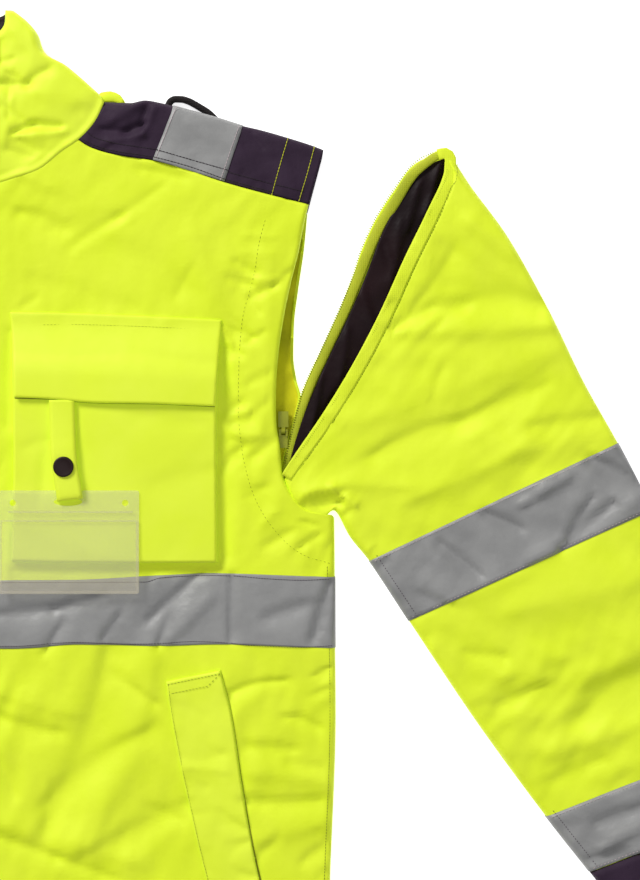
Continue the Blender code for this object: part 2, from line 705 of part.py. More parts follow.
def chest_pocket(front, marks, yellow):
    """The bellows pocket and the flap over it."""
    columns = (guide_column("pocket_left"), guide_column("welt_right"))
    pocket = between(front, marks, "pocket_low", "pocket_top", columns, SEAM)
    grid_object("chest_pocket", pocket[:-1], POCKET_RISE - SEAM, True, yellow)
    over = between(front, marks, "flap_low", "pocket_top", columns, POCKET_RISE + SEAM)
    seat = between(front, marks, "pocket_top", "pocket_top", columns, SEAM)
    grid_object("chest_pocket_flap", np.concatenate((over[:-1], seat)), FLAP_CLOTH, True, yellow)


def hand_pocket(front, marks, side, yellow):
    """A slanted welt over a hand pocket."""
    columns = (guide_column("welt_left"), guide_column("welt_right"))
    name = "left" if side > 0 else "right"
    welt = between(front, marks, "welt_low", "welt_top", columns, SEAM)
    shown = welt if side > 0 else mirrored(welt)
    grid_object(f"hand_pocket_{name}", shown, WELT_CLOTH, True, yellow)


def front_closure(folds, yellow):
    """The closed zip between the fronts and the storm flap over it."""
    heights = np.linspace(HEM_Y, 305.0, 25)
    strip = np.array([[(x, y, TOP - WALL + ZIP_THICK) for x in (-ZIP_HALF + SEAM, 0.0,
                                                                ZIP_HALF - SEAM)]
                      for y in heights])
    grid_object("front_zip", strip, ZIP_THICK, False, yellow)
    lines = np.linspace(HEM_Y, 216.0, 20)
    crown = max(fold_height(folds, x, y) for y in lines for x in (-FLAP_HALF, 0.0, FLAP_HALF))
    flap = np.array([[(x, y, TOP + SEAM + max(crown, 0.0) + 0.4)
                      for x in (-FLAP_HALF + 2, 0.0, FLAP_HALF - 2)] for y in lines])
    grid_object("front_flap", flap, FLAP_CLOTH, True, yellow)


def shoulder_patch(yoke, side, silver):
    """Reflective strip across a yoke."""
    start = guide_column("welt_left") - guide_column("yoke_corner")
    patch = moved_out(yoke, SEAM)[:, start:start + 3]
    name = "left" if side > 0 else "right"
    shown = patch if side > 0 else mirrored(patch)
    grid_object(f"shoulder_patch_{name}", shown, TAPE, True, silver)


def collar_lining(collar, dark):
    """Dark lining on the inner side of the collar's back."""
    inner = collar[1:, :, :]
    columns = inner.shape[1]
    middle = columns // 2
    reach = COLLAR_BACK_CELLS // 2 - 1
    patch = inner[:, middle - reach:middle + reach + 1].copy()
    patch[:, :, 2] = WALL + SEAM
    grid_object("collar_lining", patch[:, ::-1], LINING, True, dark)


def head_lining(under, dark):
    """Dark lining on the inner side of the under panel at the sleeve's head."""
    edge = len(ROUND_ANGLES)
    patch = under[:8, edge:-edge].copy()
    patch[0, :, :2] += (patch[1, :, :2] - patch[0, :, :2]) * LINING_START
    patch[:, :, 2] = WALL + SEAM
    grid_object("sleeve_left_lining", patch[::-1], LINING, True, dark)


def zip_strip(name, edge, z, side, finish):
    """Zip tape along a panel's head edge: outside it (1) or on its inner side (-1)."""
    tangent = np.gradient(edge, axis=0)
    tangent /= np.linalg.norm(tangent, axis=1, keepdims=True)
    square = np.column_stack((-tangent[:, 1], tangent[:, 0])) * side
    lines = [edge + square * step for step in (2 * SEAM, ZIP_TAPE / 2, ZIP_TAPE)]
    strip = np.array([[(x, y, z) for x, y in line] for line in lines])
    grid_object(name, strip if side > 0 else strip[::-1], ZIP_THICK, True, finish)


def badge_strap(z_under, z_over, cloth):
    """A strap folded through the holder's slot: behind it, round and up to the stud."""
    radius = (z_over - z_under) / 2
    path = [(72.0, z_under), (50.0, z_under), (30.0, z_under), (14.0, z_under)]
    for step in range(5):
        angle = math.pi / 4 * step
        path.append((BADGE_SLOT["y"] - radius * math.sin(angle),
                     z_under + radius - radius * math.cos(angle)))
    path += [(14.0, z_over), (30.0, z_over), (42.0, z_over)]
    half = STRAP_WIDTH / 2
    grid = np.array([[(STRAP_X + x, y, z) for x in (-half, 0.0, half)] for y, z in path])
    grid_object("badge_strap", grid, STRAP_CLOTH, True, cloth)


def card_holder(z, clear):
    """Clear holder: a plate with a slot and two round holes."""
    size = (BADGE["width"], BADGE["height"], BADGE["thick"])
    plate = block("badge_holder", (BADGE["x"], BADGE["y"], z + BADGE["thick"] / 2), size, clear)
    slot = block_cutter("slot_cutter", (BADGE_SLOT["x"], BADGE_SLOT["y"], z),
                        (BADGE_SLOT["width"], BADGE_SLOT["height"], 6.0))
    boolean(plate, slot)
    for sign in (-1, 1):
        hole = cylinder_mesh("hole_cutter", BADGE_HOLES["radius"], 6.0, segments=16)
        centre = (BADGE["x"] + sign * BADGE_HOLES["x"], BADGE_HOLES["y"], z)
        boolean(plate, cutter(f"hole_cutter_{'left' if sign < 0 else 'right'}", hole, centre))


def block_cutter(name, centre, size):
    """A box cutter."""
    builder = bmesh.new()
    bmesh.ops.create_cube(builder, size=1.0)
    bmesh.ops.scale(builder, vec=Vector(size) * MM, verts=builder.verts)
    return cutter(name, mesh_from(builder, name), centre)


def press_stud(z, metal):
    """Domed press stud turned about Z."""
    radius, height = SNAP["radius"], SNAP["height"]
    profile = [(0.0, height), (radius * 0.45, height * 0.97), (radius * 0.8, height * 0.8),
               (radius * 0.97, height * 0.45), (radius, 0.0), (0.0, 0.0)]
    mesh = bpy.data.meshes.new("snap")
    edges = [(number, number + 1) for number in range(len(profile) - 1)]
    mesh.from_pydata([(x * MM, 0.0, up * MM) for x, up in profile], edges, [])
    stud = place("snap", mesh, metal)
    stud.location = Vector((SNAP["x"], SNAP["y"], z)) * MM
    turning = stud.modifiers.new("Turn", "SCREW")
    turning.steps = 20
    turning.render_steps = 20
    turning.use_merge_vertices = True
    turning.merge_threshold = 0.00002
    return stud


# ----------------------------------------------------------------- slider and its pull
def zip_slider(metal):
    """Slider body with two lugs and a pin, and the pull hinged on that pin."""
    base_z = WALL + SEAM
    body = block("zip_slider", (SLIDER["x"], SLIDER["y"], base_z + SLIDER["height"] / 2),
                 (SLIDER["width"], SLIDER["length"], SLIDER["height"]), metal)
    pin_z = base_z + SLIDER["height"] + PULL["pin"] * 0.5
    pin_y = PULL["hinge_y"]
    lug = (1.3, 5.0, pin_z - base_z + 1.2)
    for sign in (-1, 1):
        x = SLIDER["x"] + sign * (SLIDER["width"] / 2 - lug[0] / 2)
        ear = block_cutter(f"lug_{'left' if sign < 0 else 'right'}",
                           (x, pin_y - 1.3, base_z + lug[2] / 2), lug)
        boolean(body, ear, "UNION")
    turn = Vector((0, 0, 1)).rotation_difference(Vector((1, 0, 0))).to_matrix().to_4x4()
    pin = cylinder_mesh("pin", PULL["pin"], SLIDER["width"] - 0.6, turn, 16)
    boolean(body, cutter("pin", pin, (SLIDER["x"], pin_y, pin_z)), "UNION")
    return pin_y, pin_z


def zip_pull(pin_y, pin_z, metal):
    """The pull tab: an eye round the pin and a flat tongue, its origin on the hinge."""
    eye_radius = PULL["eye"] + 0.95
    eye_width = SLIDER["width"] - 2 * 1.3 - 2 * SEAM
    turn = Vector((0, 0, 1)).rotation_difference(Vector((1, 0, 0))).to_matrix().to_4x4()
    hub = cylinder_mesh("zip_pull", eye_radius, eye_width, turn, 16)
    pull = place("zip_pull", hub, metal)
    pull.location = Vector((SLIDER["x"], pin_y, pin_z)) * MM
    neck = block_cutter("pull_neck", (SLIDER["x"], pin_y + 2.3, pin_z),
                        (eye_width, 2.6, PULL["thick"]))
    tongue = block_cutter("pull_tongue",
                          (SLIDER["x"], pin_y + 2.6 + (PULL["length"] - 2.6) / 2, pin_z),
                          (PULL["width"], PULL["length"] - 2.6, PULL["thick"]))
    boolean(pull, neck, "UNION")
    boolean(pull, tongue, "UNION")
    bore = cylinder_mesh("pull_bore", PULL["eye"], eye_width + 2.0, turn, 16)
    boolean(pull, cutter("pull_bore", bore, (SLIDER["x"], pin_y, pin_z)))


def cord_loop(finish):
    """Elastic cord loop that stands out behind the shoulder."""
    curve = bpy.data.curves.new("cord_loop", "CURVE")
    curve.dimensions = "3D"
    curve.bevel_depth = CORD_RADIUS * MM
    curve.bevel_resolution = 2
    curve.use_fill_caps = True
    spline = curve.splines.new("POLY")
    spline.points.add(len(CORD_ROUTE) - 1)
    for point, (x, y) in zip(spline.points, CORD_ROUTE):
        point.co = (x * MM, (y + CORD_SIDE) * MM, CORD_Z * MM, 1.0)
    place("cord_loop", curve, finish)


# ------------------------------------------------------------------------- assembly
def build_jacket():
    """Every piece of the jacket, each with its own material."""
    yellow = material("hi-vis yellow cloth", (0.72, 0.9, 0.04), 0.75)
    silver = material("reflective tape", (0.27, 0.27, 0.27), 0.5)
    dark = material("aubergine cloth", (0.03, 0.018, 0.03), 0.8)
    lining = material("dark lining", (0.015, 0.008, 0.01), 0.6)
    tape = material("zip tape", (0.45, 0.55, 0.02), 0.6)
    clear = material("clear vinyl", (0.8, 0.8, 0.7), 0.15)
    metal = material("dark stud", (0.02, 0.012, 0.014), 0.35, 0.6)
    cord = material("elastic cord", (0.008, 0.006, 0.006), 0.8)

    left, marks = front_grid(LEFT_FOLDS)
    right_folds = [(-x0, y0, -x1, y1, width, height)
                   for x0, y0, x1, y1, width, height in RIGHT_FOLDS]
    right_plain, _ = front_grid(RIGHT_FOLDS)
    right = mirrored(right_plain)
    grid_object("front_left", left, WALL, False, yellow)
    grid_object("front_right", right, WALL, False, yellow)
    back, back_marks = back_grid()
    grid_object("back_panel", back, WALL, False, yellow)
    torso_tapes(left, right, marks, back, back_marks, silver)
    chest_pocket(left, marks, yellow)
    hand_pocket(left, marks, 1, yellow)
    hand_pocket(right_plain, marks, -1, yellow)
    front_closure(LEFT_FOLDS + right_folds, yellow)

    for side, folds, front in ((1, LEFT_FOLDS, left), (-1, RIGHT_FOLDS, right_plain)):
        yoke = front_yoke_grid(folds, front)
        name = "left" if side > 0 else "right"
        grid_object(f"yoke_{name}", yoke if side > 0 else mirrored(yoke), WALL, False, dark)
        shoulder_patch(yoke, side, silver)
    grid_object("back_yoke", back_yoke_grid(), WALL, False, dark)

    collar = collar_grid()
    grid_object("collar", collar, WALL, False, yellow)
    collar_lining(collar, lining)

    over, under = lay_sleeve("left", LEFT_SLEEVE_ROWS, LEFT_SLEEVE_FOLDS,
                          (LEFT_HEAD_FRONT, LEFT_HEAD_BACK), LEFT_CUFF, 1, yellow, silver, dark)
    front_armhole = [(x + ARMHOLE_GAP, y) for y, x in FRONT_GUIDES["outer"] if y > 0][::-1]
    back_armhole = [(x + 3 * ARMHOLE_GAP, y) for y, x in BACK_OUTER if y > 0][::-1]
    heads = ([RIGHT_SLEEVE_ROWS[0][1:3], *front_armhole, RIGHT_SLEEVE_ROWS[0][3:5]],
             [RIGHT_SLEEVE_ROWS[0][1:3], *back_armhole, RIGHT_SLEEVE_ROWS[0][3:5]])
    lay_sleeve("right", RIGHT_SLEEVE_ROWS, RIGHT_SLEEVE_FOLDS, heads, RIGHT_CUFF, -1, yellow,
               silver, dark)
    head_lining(under, lining)
    edge = len(ROUND_ANGLES)
    zip_strip("sleeve_left_zip_front", over[0, edge:-edge, :2], TOP - WALL + 1.0, 1, tape)
    zip_strip("sleeve_left_zip_back", under[0, edge:-edge, :2], WALL + SEAM, -1, tape)

    pocket_top = TOP + POCKET_RISE
    plate_z = pocket_top + SEAM + STRAP_CLOTH + SEAM
    badge_strap(plate_z - SEAM, plate_z + BADGE["thick"] + SEAM, yellow)
    card_holder(plate_z, clear)
    press_stud(plate_z + BADGE["thick"] + SEAM + STRAP_CLOTH + SEAM, metal)
    pin_y, pin_z = zip_slider(metal)
    zip_pull(pin_y, pin_z, metal)
    cord_loop(cord)


clear_scene()
JACKET = make_collection("hi_vis_work_jacket")
CUTTERS = make_collection("cutters")
build_jacket()
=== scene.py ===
"""Looks of a hi-vis winter work jacket laid flat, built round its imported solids.

Lengths inside the classes are millimetres; a mesh is written in metres. +X is the
wearer's left, +Y points to the collar and +Z out of the front.
"""
from __future__ import annotations

import logging
import math
from collections.abc import Callable
from dataclasses import dataclass
from enum import Enum

import bmesh
import bpy
import numpy as np
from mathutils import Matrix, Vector

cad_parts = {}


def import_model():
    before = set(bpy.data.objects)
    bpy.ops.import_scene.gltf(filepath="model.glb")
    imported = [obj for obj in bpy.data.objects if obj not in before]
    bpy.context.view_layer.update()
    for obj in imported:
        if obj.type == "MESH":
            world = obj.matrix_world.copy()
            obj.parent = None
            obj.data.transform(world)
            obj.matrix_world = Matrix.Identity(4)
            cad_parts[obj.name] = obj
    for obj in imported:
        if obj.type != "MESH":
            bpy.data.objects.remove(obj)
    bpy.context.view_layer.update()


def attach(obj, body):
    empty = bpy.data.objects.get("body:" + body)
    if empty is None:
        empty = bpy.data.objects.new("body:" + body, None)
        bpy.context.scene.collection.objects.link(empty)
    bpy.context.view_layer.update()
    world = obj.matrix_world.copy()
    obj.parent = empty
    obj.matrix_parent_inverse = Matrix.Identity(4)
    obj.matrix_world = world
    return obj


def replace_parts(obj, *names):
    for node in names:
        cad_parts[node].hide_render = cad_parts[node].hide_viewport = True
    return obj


LOG = logging.getLogger("work_jacket")
MM = 0.001
BODY = "jacket"

TOP = 13.0                  # height of the front layer's face
SEAM = 0.3                  # gap between a front and its yoke
EDGE_HEIGHT = 6.1           # from the face down to a side seam
FREE_RADIUS = 3.2           # rounding of an edge that no side seam holds
FREE_EDGE = 3.4             # from the face down to such an edge
SIDE_RADIUS = 5.5           # rounding where a side seam holds it
SIDE_X = 272.4              # the side seam below the armhole
DEEPEST_FOLD = 5.0
PADDED = 2.0                # wall of the padded cloths
POCKET_WALL = 1.0
LINING_WALL = 0.7
TAPE = 0.3                  # wall of the reflective tapes
TAPE_RISE = 0.15            # from a cloth's face to its tape
UNDERSIDE = 0.6             # the cloth lies on its tapes
HEM_Y = -480.0
NARROWEST = 10.0            # least width taken for a sheet's measured width

Grid = np.ndarray
Plan = list[tuple[float, float]]
Height = Callable[[np.ndarray, np.ndarray], np.ndarray]


# ------------------------------------------------------------------ curves and grids
def pchip(xs: np.ndarray, ys: np.ndarray, at: np.ndarray) -> np.ndarray:
    """Smooth interpolation that never overshoots its points.

    Args:
        xs: increasing places.
        ys: values there.
        at: places to read.

    Returns:
        The values at those places.
    """
    xs, ys, at = (np.asarray(item, dtype=float) for item in (xs, ys, at))
    if len(xs) == 2:
        return np.interp(at, xs, ys)
    run = np.diff(xs)
    slope = np.diff(ys) / run
    tangent = np.zeros_like(ys)
    same = slope[:-1] * slope[1:] > 0
    weight_a, weight_b = 2 * run[1:] + run[:-1], run[1:] + 2 * run[:-1]
    with np.errstate(divide="ignore", invalid="ignore"):
        mean = (weight_a + weight_b) / (weight_a / slope[:-1] + weight_b / slope[1:])
    tangent[1:-1] = np.where(same, mean, 0.0)
    tangent[0], tangent[-1] = slope[0], slope[-1]
    cell = np.clip(np.searchsorted(xs, at) - 1, 0, len(run) - 1)
    share = np.clip((at - xs[cell]) / run[cell], 0.0, 1.0)
    square, cube = share ** 2, share ** 3
    return (ys[cell] * (2 * cube - 3 * square + 1) + run[cell] * tangent[cell] * (cube - 2 * square + share)
            + ys[cell + 1] * (3 * square - 2 * cube) + run[cell] * tangent[cell + 1] * (cube - square))


def between(table: np.ndarray, places: np.ndarray, rows: np.ndarray | None = None) -> np.ndarray:
    """Each column of a table, read smoothly between its rows, which lie at 0, 1, 2 ... unless given."""
    rows = np.arange(len(table)) if rows is None else rows
    return np.stack([pchip(rows, column, places) for column in table.T], axis=1)


def smooth_line(points: Plan, places: np.ndarray) -> np.ndarray:
    """Points at shares of the length of a smooth line through given points."""
    line = np.array(points, dtype=float)
    travelled = np.concatenate(([0.0], np.cumsum(np.linalg.norm(np.diff(line, axis=0), axis=1))))
    return between(line, places, travelled / travelled[-1])


def line_length(points: Plan) -> float:
    """Length of a line through points."""
    return float(np.linalg.norm(np.diff(np.array(points, dtype=float), axis=0), axis=1).sum())


def spread(cells: int) -> np.ndarray:
    """Shares from 0 to 1, ends included."""
    return np.linspace(0.0, 1.0, cells + 1)


def fine_rows(table: dict[str, tuple[float, ...]], cells: list[int], head: tuple[float, ...] = (0.0,),
              start: float = 0.0) -> tuple[np.ndarray, dict[str, int]]:
    """Places of fine rows between a table's rows.

    Args:
        table: the rows by name.
        cells: cells up to each row but the first.
        head: the first places.
        start: where even places begin in the first gap.

    Returns:
        The places, and which of them each named row has.
    """
    places, marks = list(head), {next(iter(table)): 0}
    for number, (name, count) in enumerate(zip(list(table)[1:], cells)):
        share = start if number == 0 else 0.0
        places += list(number + share + (1 - share) * spread(count)[1:])
        marks[name] = len(places) - 1
    return np.array(places), marks


def soft_step(value: np.ndarray) -> np.ndarray:
    """0 below 0, 1 above 1, smooth between."""
    share = np.clip(value, 0.0, 1.0)
    return share * share * (3 - 2 * share)


def facets(phase: np.ndarray) -> np.ndarray:
    """A wave of flat slopes that meet in soft creases."""
    return np.arcsin(0.97 * np.sin(phase)) / (0.5 * math.pi)


def normals(grid: Grid, wrap: bool = False) -> Grid:
    """Unit normals of a grid of points, facing out of the cloth."""
    if wrap:
        padded = np.concatenate((grid[:, -1:], grid, grid[:, :1]), axis=1)
        across = np.gradient(padded, axis=1)[:, 1:-1]
    else:
        across = np.gradient(grid, axis=1)
    facing = np.cross(across, np.gradient(grid, axis=0))
    return facing / np.maximum(np.linalg.norm(facing, axis=2, keepdims=True), 1e-9)


def moved_out(grid: Grid, distance: float | np.ndarray, wrap: bool = False) -> Grid:
    """The grid with each point moved along its normal."""
    return grid + normals(grid, wrap) * distance


def mirrored(grid: Grid) -> Grid:
    """Mirror image in the centre plane, facing the same way."""
    return grid[:, ::-1] * np.array((-1.0, 1.0, 1.0))


def lifted(plan: Grid, z: np.ndarray) -> Grid:
    """Points of a plan at given heights."""
    return np.concatenate((plan[..., :2], z[..., None]), axis=-1)


# ---------------------------------------------------------------------------- relief
@dataclass(frozen=True)
class Fold:
    """One soft ridge (+) or trough (-) of the cloth, in the plan."""

    x0: float
    y0: float
    x1: float
    y1: float
    width: float
    height: float
    bow: float = 0.0

    def lift(self, x: np.ndarray, y: np.ndarray) -> np.ndarray:
        """Height that this fold adds at each place."""
        run_x, run_y = self.x1 - self.x0, self.y1 - self.y0
        length = math.hypot(run_x, run_y)
        along = ((x - self.x0) * run_x + (y - self.y0) * run_y) / length ** 2
        square = ((y - self.y0) * run_x - (x - self.x0) * run_y) / length
        inside = np.clip(along, 0.0, 1.0)
        square = square - self.bow * 4 * inside * (1 - inside)
        beyond = np.maximum(np.abs(along - 0.5) - 0.5, 0.0) * length
        slim = self.width * (0.55 + 0.45 * np.sin(np.pi * np.clip(along, 0.08, 0.92)))
        facing_light = 0.77 * run_x + 0.64 * run_y > 0
        hard = (square > 0) == (facing_light == (self.height < 0))
        steep = np.where(hard, 1.5, 0.72)
        crisp = 1.3 if self.width < 11 else 1.8
        section = np.abs(2 * square * steep / slim) ** crisp
        return self.height * np.exp(-section - (2 * beyond / self.width) ** 2)


def folds(*rows: tuple[float, ...]) -> list[Fold]:
    """Folds from rows of their values."""
    return [Fold(*row) for row in rows]


@dataclass
class Relief:
    """All folds of one panel, with fine unevenness that no fold names."""

    folds: list[Fold]
    seed: int
    swell: float = 0.8
    crinkle: float = 0.3

    def __post_init__(self) -> None:
        """Draw the waves of the fine unevenness."""
        draw = np.random.default_rng(self.seed)
        self.waves, self.ripples = (
            [(draw.uniform(0, math.tau), draw.uniform(0, math.tau), length, size) for length, size in rows]
            for rows in (((150, 0.5), (105, 0.4), (74, 0.32), (52, 0.2)),
                         ((31, 1.0), (23, 0.8), (17, 0.6), (12.5, 0.45))))

    def height(self, x: np.ndarray, y: np.ndarray) -> np.ndarray:
        """Height over the flat face, never below what the layers allow."""
        total = np.zeros_like(x)
        for fold in self.folds:
            total += fold.lift(x, y)
        warp_x = x + 9 * np.sin(y / 41 + self.seed) + 4 * np.sin(y / 13.7)
        warp_y = y + 9 * np.sin(x / 37 + 2 * self.seed) + 4 * np.sin(x / 15.1)
        swell = self.swell * (1 + 0.7 * soft_step((-60 - y) / 60))
        patchy = 0.5 + 0.5 * np.sin(x / 33 + self.seed) * np.cos(y / 27 - self.seed)
        for waves, scale in ((self.waves, 1.0), (self.ripples, self.crinkle * patchy / 0.8)):
            for direction, phase, length, size in waves:
                total += scale * swell * size * facets(
                    (warp_x * math.cos(direction) + warp_y * math.sin(direction)) * math.tau / length + phase)
        return np.where(total < 0, -DEEPEST_FOLD * np.tanh(-total / DEEPEST_FOLD), total)

    def over(self, plan: Grid) -> np.ndarray:
        """Height over the points of a plan."""
        return self.height(plan[..., 0], plan[..., 1])


def puckers(line: Plan, seed: int, pitch: float, length: float, height: float,
            slant: float = 0.0) -> list[Fold]:
    """Short uneven gathers that cross a sewn line.

    Args:
        line: points of the sewn line.
        seed: draws the unevenness.
        pitch: mean spacing.
        length: mean length of a gather.
        height: mean height.
        slant: turn from square to the line, in radians.

    Returns:
        Their folds.
    """
    draw = np.random.default_rng(seed)
    count = max(2, int(line_length(line) / pitch))
    places = np.clip((np.arange(count) + draw.uniform(0.1, 0.9, count)) / count, 0.01, 0.99)
    points = smooth_line(line, places)
    ahead = smooth_line(line, np.clip(places + 0.01, 0, 1)) - smooth_line(line, np.clip(places - 0.01, 0, 1))
    made = []
    for (x, y), (run_x, run_y) in zip(points, ahead):
        angle = math.atan2(run_y, run_x) + math.pi / 2 + slant + draw.normal(0, 0.28)
        reach = length * draw.uniform(0.45, 1.25)
        shift = draw.uniform(0.15, 0.6)
        step_x, step_y = math.cos(angle) * reach, math.sin(angle) * reach
        made.append(Fold(x - step_x * shift, y - step_y * shift, x + step_x * (1 - shift),
                         y + step_y * (1 - shift), draw.uniform(5.0, 9.5),
                         height * draw.uniform(-1.0, 0.75)))
    return made


# ------------------------------------------------------------------------- finishes
class Slot(Enum):
    """Material slot names that the finishes carry."""

    YELLOW = "yellow_cloth"
    DARK = "dark_cloth"
    LINING = "lining"
    SILVER = "reflective_tape"
    ZIP = "zip_tape"
    CLEAR = "clear_vinyl"
    METAL = "hardware"
    CORD = "elastic_cord"


CRUSH_DEPTH, WEAVE_DEPTH = 0.0012, 0.0003       # reach of the bumps, in metres
WAVE_TURN = 6.2832          # a wave texture's scale counts in radians
SHARP_EDGE = 38             # degrees from which a turned body's edge isn't smoothed


def feed(tree: bpy.types.NodeTree, node: bpy.types.Node, inputs: dict[str, object]) -> None:
    """Set or link a node's inputs by name."""
    for name, value in inputs.items():
        if isinstance(value, bpy.types.NodeSocket):
            tree.links.new(value, node.inputs[name])
        else:
            node.inputs[name].default_value = value


def shader_node(tree: bpy.types.NodeTree, kind: str, **inputs: object) -> bpy.types.Node:
    """A new shader node with its inputs fed."""
    node = tree.nodes.new(f"ShaderNode{kind}")
    feed(tree, node, inputs)
    return node


@dataclass(frozen=True)
class Finish:
    """A procedural cloth, tape, plastic or metal finish."""

    name: str
    slot: Slot
    light: tuple[float, float, float]
    deep: tuple[float, float, float]
    roughness: float = 0.7
    sheen: float = 0.0
    weave_mm: float = 0.9
    weave_bump: float = 0.12
    crush_mm: float = 7.0
    crush_bump: float = 0.25
    # painted glow: emission that stands in for the cloth's fluorescence and lifts its shade
    glow: float = 0.0
    metallic: float = 0.0
    alpha: float = 1.0
    beads: bool = False
    specular: float = 0.35

    def build(self) -> bpy.types.Material:
        """Make the material's nodes."""
        made = bpy.data.materials.new(self.name)
        made.use_nodes = True
        tree = made.node_tree
        place = shader_node(tree, "TexCoord").outputs["Object"]
        patches = shader_node(tree, "TexNoise", Scale=200.0 / self.crush_mm, Detail=3.0, Vector=place)
        tint = shader_node(tree, "ValToRGB", Fac=patches.outputs["Fac"])
        for element, position, colour in zip(tint.color_ramp.elements, (0.32, 0.62), (self.deep, self.light)):
            element.position, element.color = position, (*colour, 1.0)
        crush = shader_node(tree, "TexNoise", Scale=1000.0 / self.crush_mm, Detail=4.0, Vector=place)
        soft = shader_node(tree, "Bump", Strength=self.crush_bump, Distance=CRUSH_DEPTH,
                           Height=crush.outputs["Fac"])
        fine = shader_node(tree, "Bump", Strength=self.weave_bump, Distance=WEAVE_DEPTH,
                           Height=self.grain(tree, place), Normal=soft.outputs["Normal"])
        inputs = {"Roughness": self.roughness, "Metallic": self.metallic, "Sheen Weight": self.sheen,
                  "Alpha": self.alpha, "Specular IOR Level": self.specular,
                  "Base Color": tint.outputs["Color"], "Normal": fine.outputs["Normal"]}
        # painted glow in the finish's own colour
        if self.glow:
            inputs |= {"Emission Color": tint.outputs["Color"], "Emission Strength": self.glow}
        feed(tree, tree.nodes["Principled BSDF"], inputs)
        return made

    def grain(self, tree: bpy.types.NodeTree, place: bpy.types.NodeSocket) -> bpy.types.NodeSocket:
        """Height of the finest detail: glass beads, or warp and weft."""
        if self.beads:
            beads = shader_node(tree, "TexVoronoi", Scale=1000.0 / self.weave_mm, Vector=place)
            return beads.outputs["Distance"]
        crossed = shader_node(tree, "Math")
        crossed.operation = "MAXIMUM"
        for direction, socket in zip(("X", "Y"), crossed.inputs):
            thread = shader_node(tree, "TexWave", Scale=2000.0 / self.weave_mm / WAVE_TURN, Distortion=0.6,
                                 Vector=place)
            thread.bands_direction = direction
            tree.links.new(thread.outputs["Fac"], socket)
        return crossed.outputs[0]


# The glow on the yellow cloth is painted light: it stands in for fluorescence and lifts the cloth's shade.
YELLOW = Finish("hi-vis yellow cloth", Slot.YELLOW, (0.79, 0.945, 0.028), (0.755, 0.92, 0.018), 0.6,
                sheen=0.06, glow=0.09, crush_bump=0.26)
# A lit copy of the yellow cloth: more painted glow brightens the pocket, flap, strap, welts and collar.
GLOW_BRIGHTENED_YELLOW = Finish("hi-vis yellow cloth with painted extra glow", Slot.YELLOW, (0.785, 0.94, 0.045), (0.755, 0.915, 0.03),
                       0.6, sheen=0.06, glow=0.12, crush_bump=0.14)
# A darker copy of the yellow cloth: painted shade on the back's inner side, seen through the armhole.
SHADED_INNER_YELLOW = Finish("hi-vis yellow inner side, painted shade", Slot.YELLOW, (0.76, 0.74, 0.005), (0.5, 0.5, 0.002), 0.8,
                      crush_bump=0.6)
AUBERGINE = Finish("aubergine cloth", Slot.DARK, (0.037, 0.019, 0.041), (0.024, 0.011, 0.027), 0.66,
                   sheen=0.05, crush_bump=0.4, specular=0.18)
SATIN = Finish("dark satin lining", Slot.LINING, (0.016, 0.005, 0.007), (0.008, 0.0025, 0.004), 0.5,
               sheen=0.02, crush_mm=12.0, crush_bump=0.5, specular=0.14)
SILVER = Finish("grey reflective tape", Slot.SILVER, (0.34, 0.34, 0.338), (0.29, 0.29, 0.29), 0.46,
                weave_mm=0.5, weave_bump=0.2, crush_mm=5.0, crush_bump=0.3, metallic=0.1, beads=True)
ZIP_YELLOW = Finish("yellow zip tape", Slot.ZIP, (0.56, 0.62, 0.02), (0.44, 0.5, 0.012), 0.6,
                    weave_mm=1.3, weave_bump=0.5)
# The bright zip tape's glow is painted light too.
FRONT_RIB = Finish("bright zip tape", Slot.ZIP, (0.79, 0.935, 0.03), (0.74, 0.89, 0.02), 0.6,
                   glow=0.08, weave_mm=1.4, weave_bump=0.3)
COIL_OLIVE = Finish("olive zip coil", Slot.ZIP, (0.3, 0.33, 0.02), (0.22, 0.25, 0.012), 0.45)
COIL_YELLOW = Finish("yellow zip coil", Slot.ZIP, (0.66, 0.74, 0.05), (0.5, 0.56, 0.03), 0.4)
# Yellow thread darker than its own colour: partly the thread, partly painted shade of the seam groove it sits
# in.
GROOVE_SHADED_THREAD = Finish("yellow thread", Slot.YELLOW, (0.5, 0.56, 0.015), (0.42, 0.48, 0.012), 0.7)
THREAD_BRIGHT = Finish("bright yellow thread", Slot.YELLOW, (0.7, 0.72, 0.03), (0.6, 0.62, 0.02), 0.6)
THREAD_DARK = Finish("dark thread", Slot.DARK, (0.03, 0.02, 0.03), (0.02, 0.012, 0.02), 0.7)
THREAD_PALE = Finish("pale thread", Slot.SILVER, (0.62, 0.52, 0.54), (0.5, 0.42, 0.44), 0.7)
THREAD_OLIVE = Finish("olive thread", Slot.YELLOW, (0.3, 0.34, 0.012), (0.24, 0.28, 0.01), 0.7)
THREAD_SHADE = Finish("pocket mouth shade", Slot.YELLOW, (0.27, 0.29, 0.006), (0.17, 0.19, 0.004), 0.8)
THREAD_PLUM = Finish("plum thread", Slot.DARK, (0.07, 0.035, 0.07), (0.045, 0.025, 0.045), 0.7)
VINYL = Finish("clear vinyl", Slot.CLEAR, (0.8, 0.74, 0.58), (0.76, 0.7, 0.54), 0.25, alpha=0.2,
               weave_bump=0.0, crush_mm=18.0, crush_bump=0.15)
STUD = Finish("dark enamel stud", Slot.METAL, (0.022, 0.009, 0.009), (0.015, 0.006, 0.006), 0.38,
              metallic=0.3, weave_bump=0.0, crush_bump=0.05)
ZINC = Finish("yellow enamel slider", Slot.METAL, (0.42, 0.45, 0.03), (0.3, 0.32, 0.015), 0.35, metallic=0.1,
              weave_bump=0.0, crush_bump=0.05)
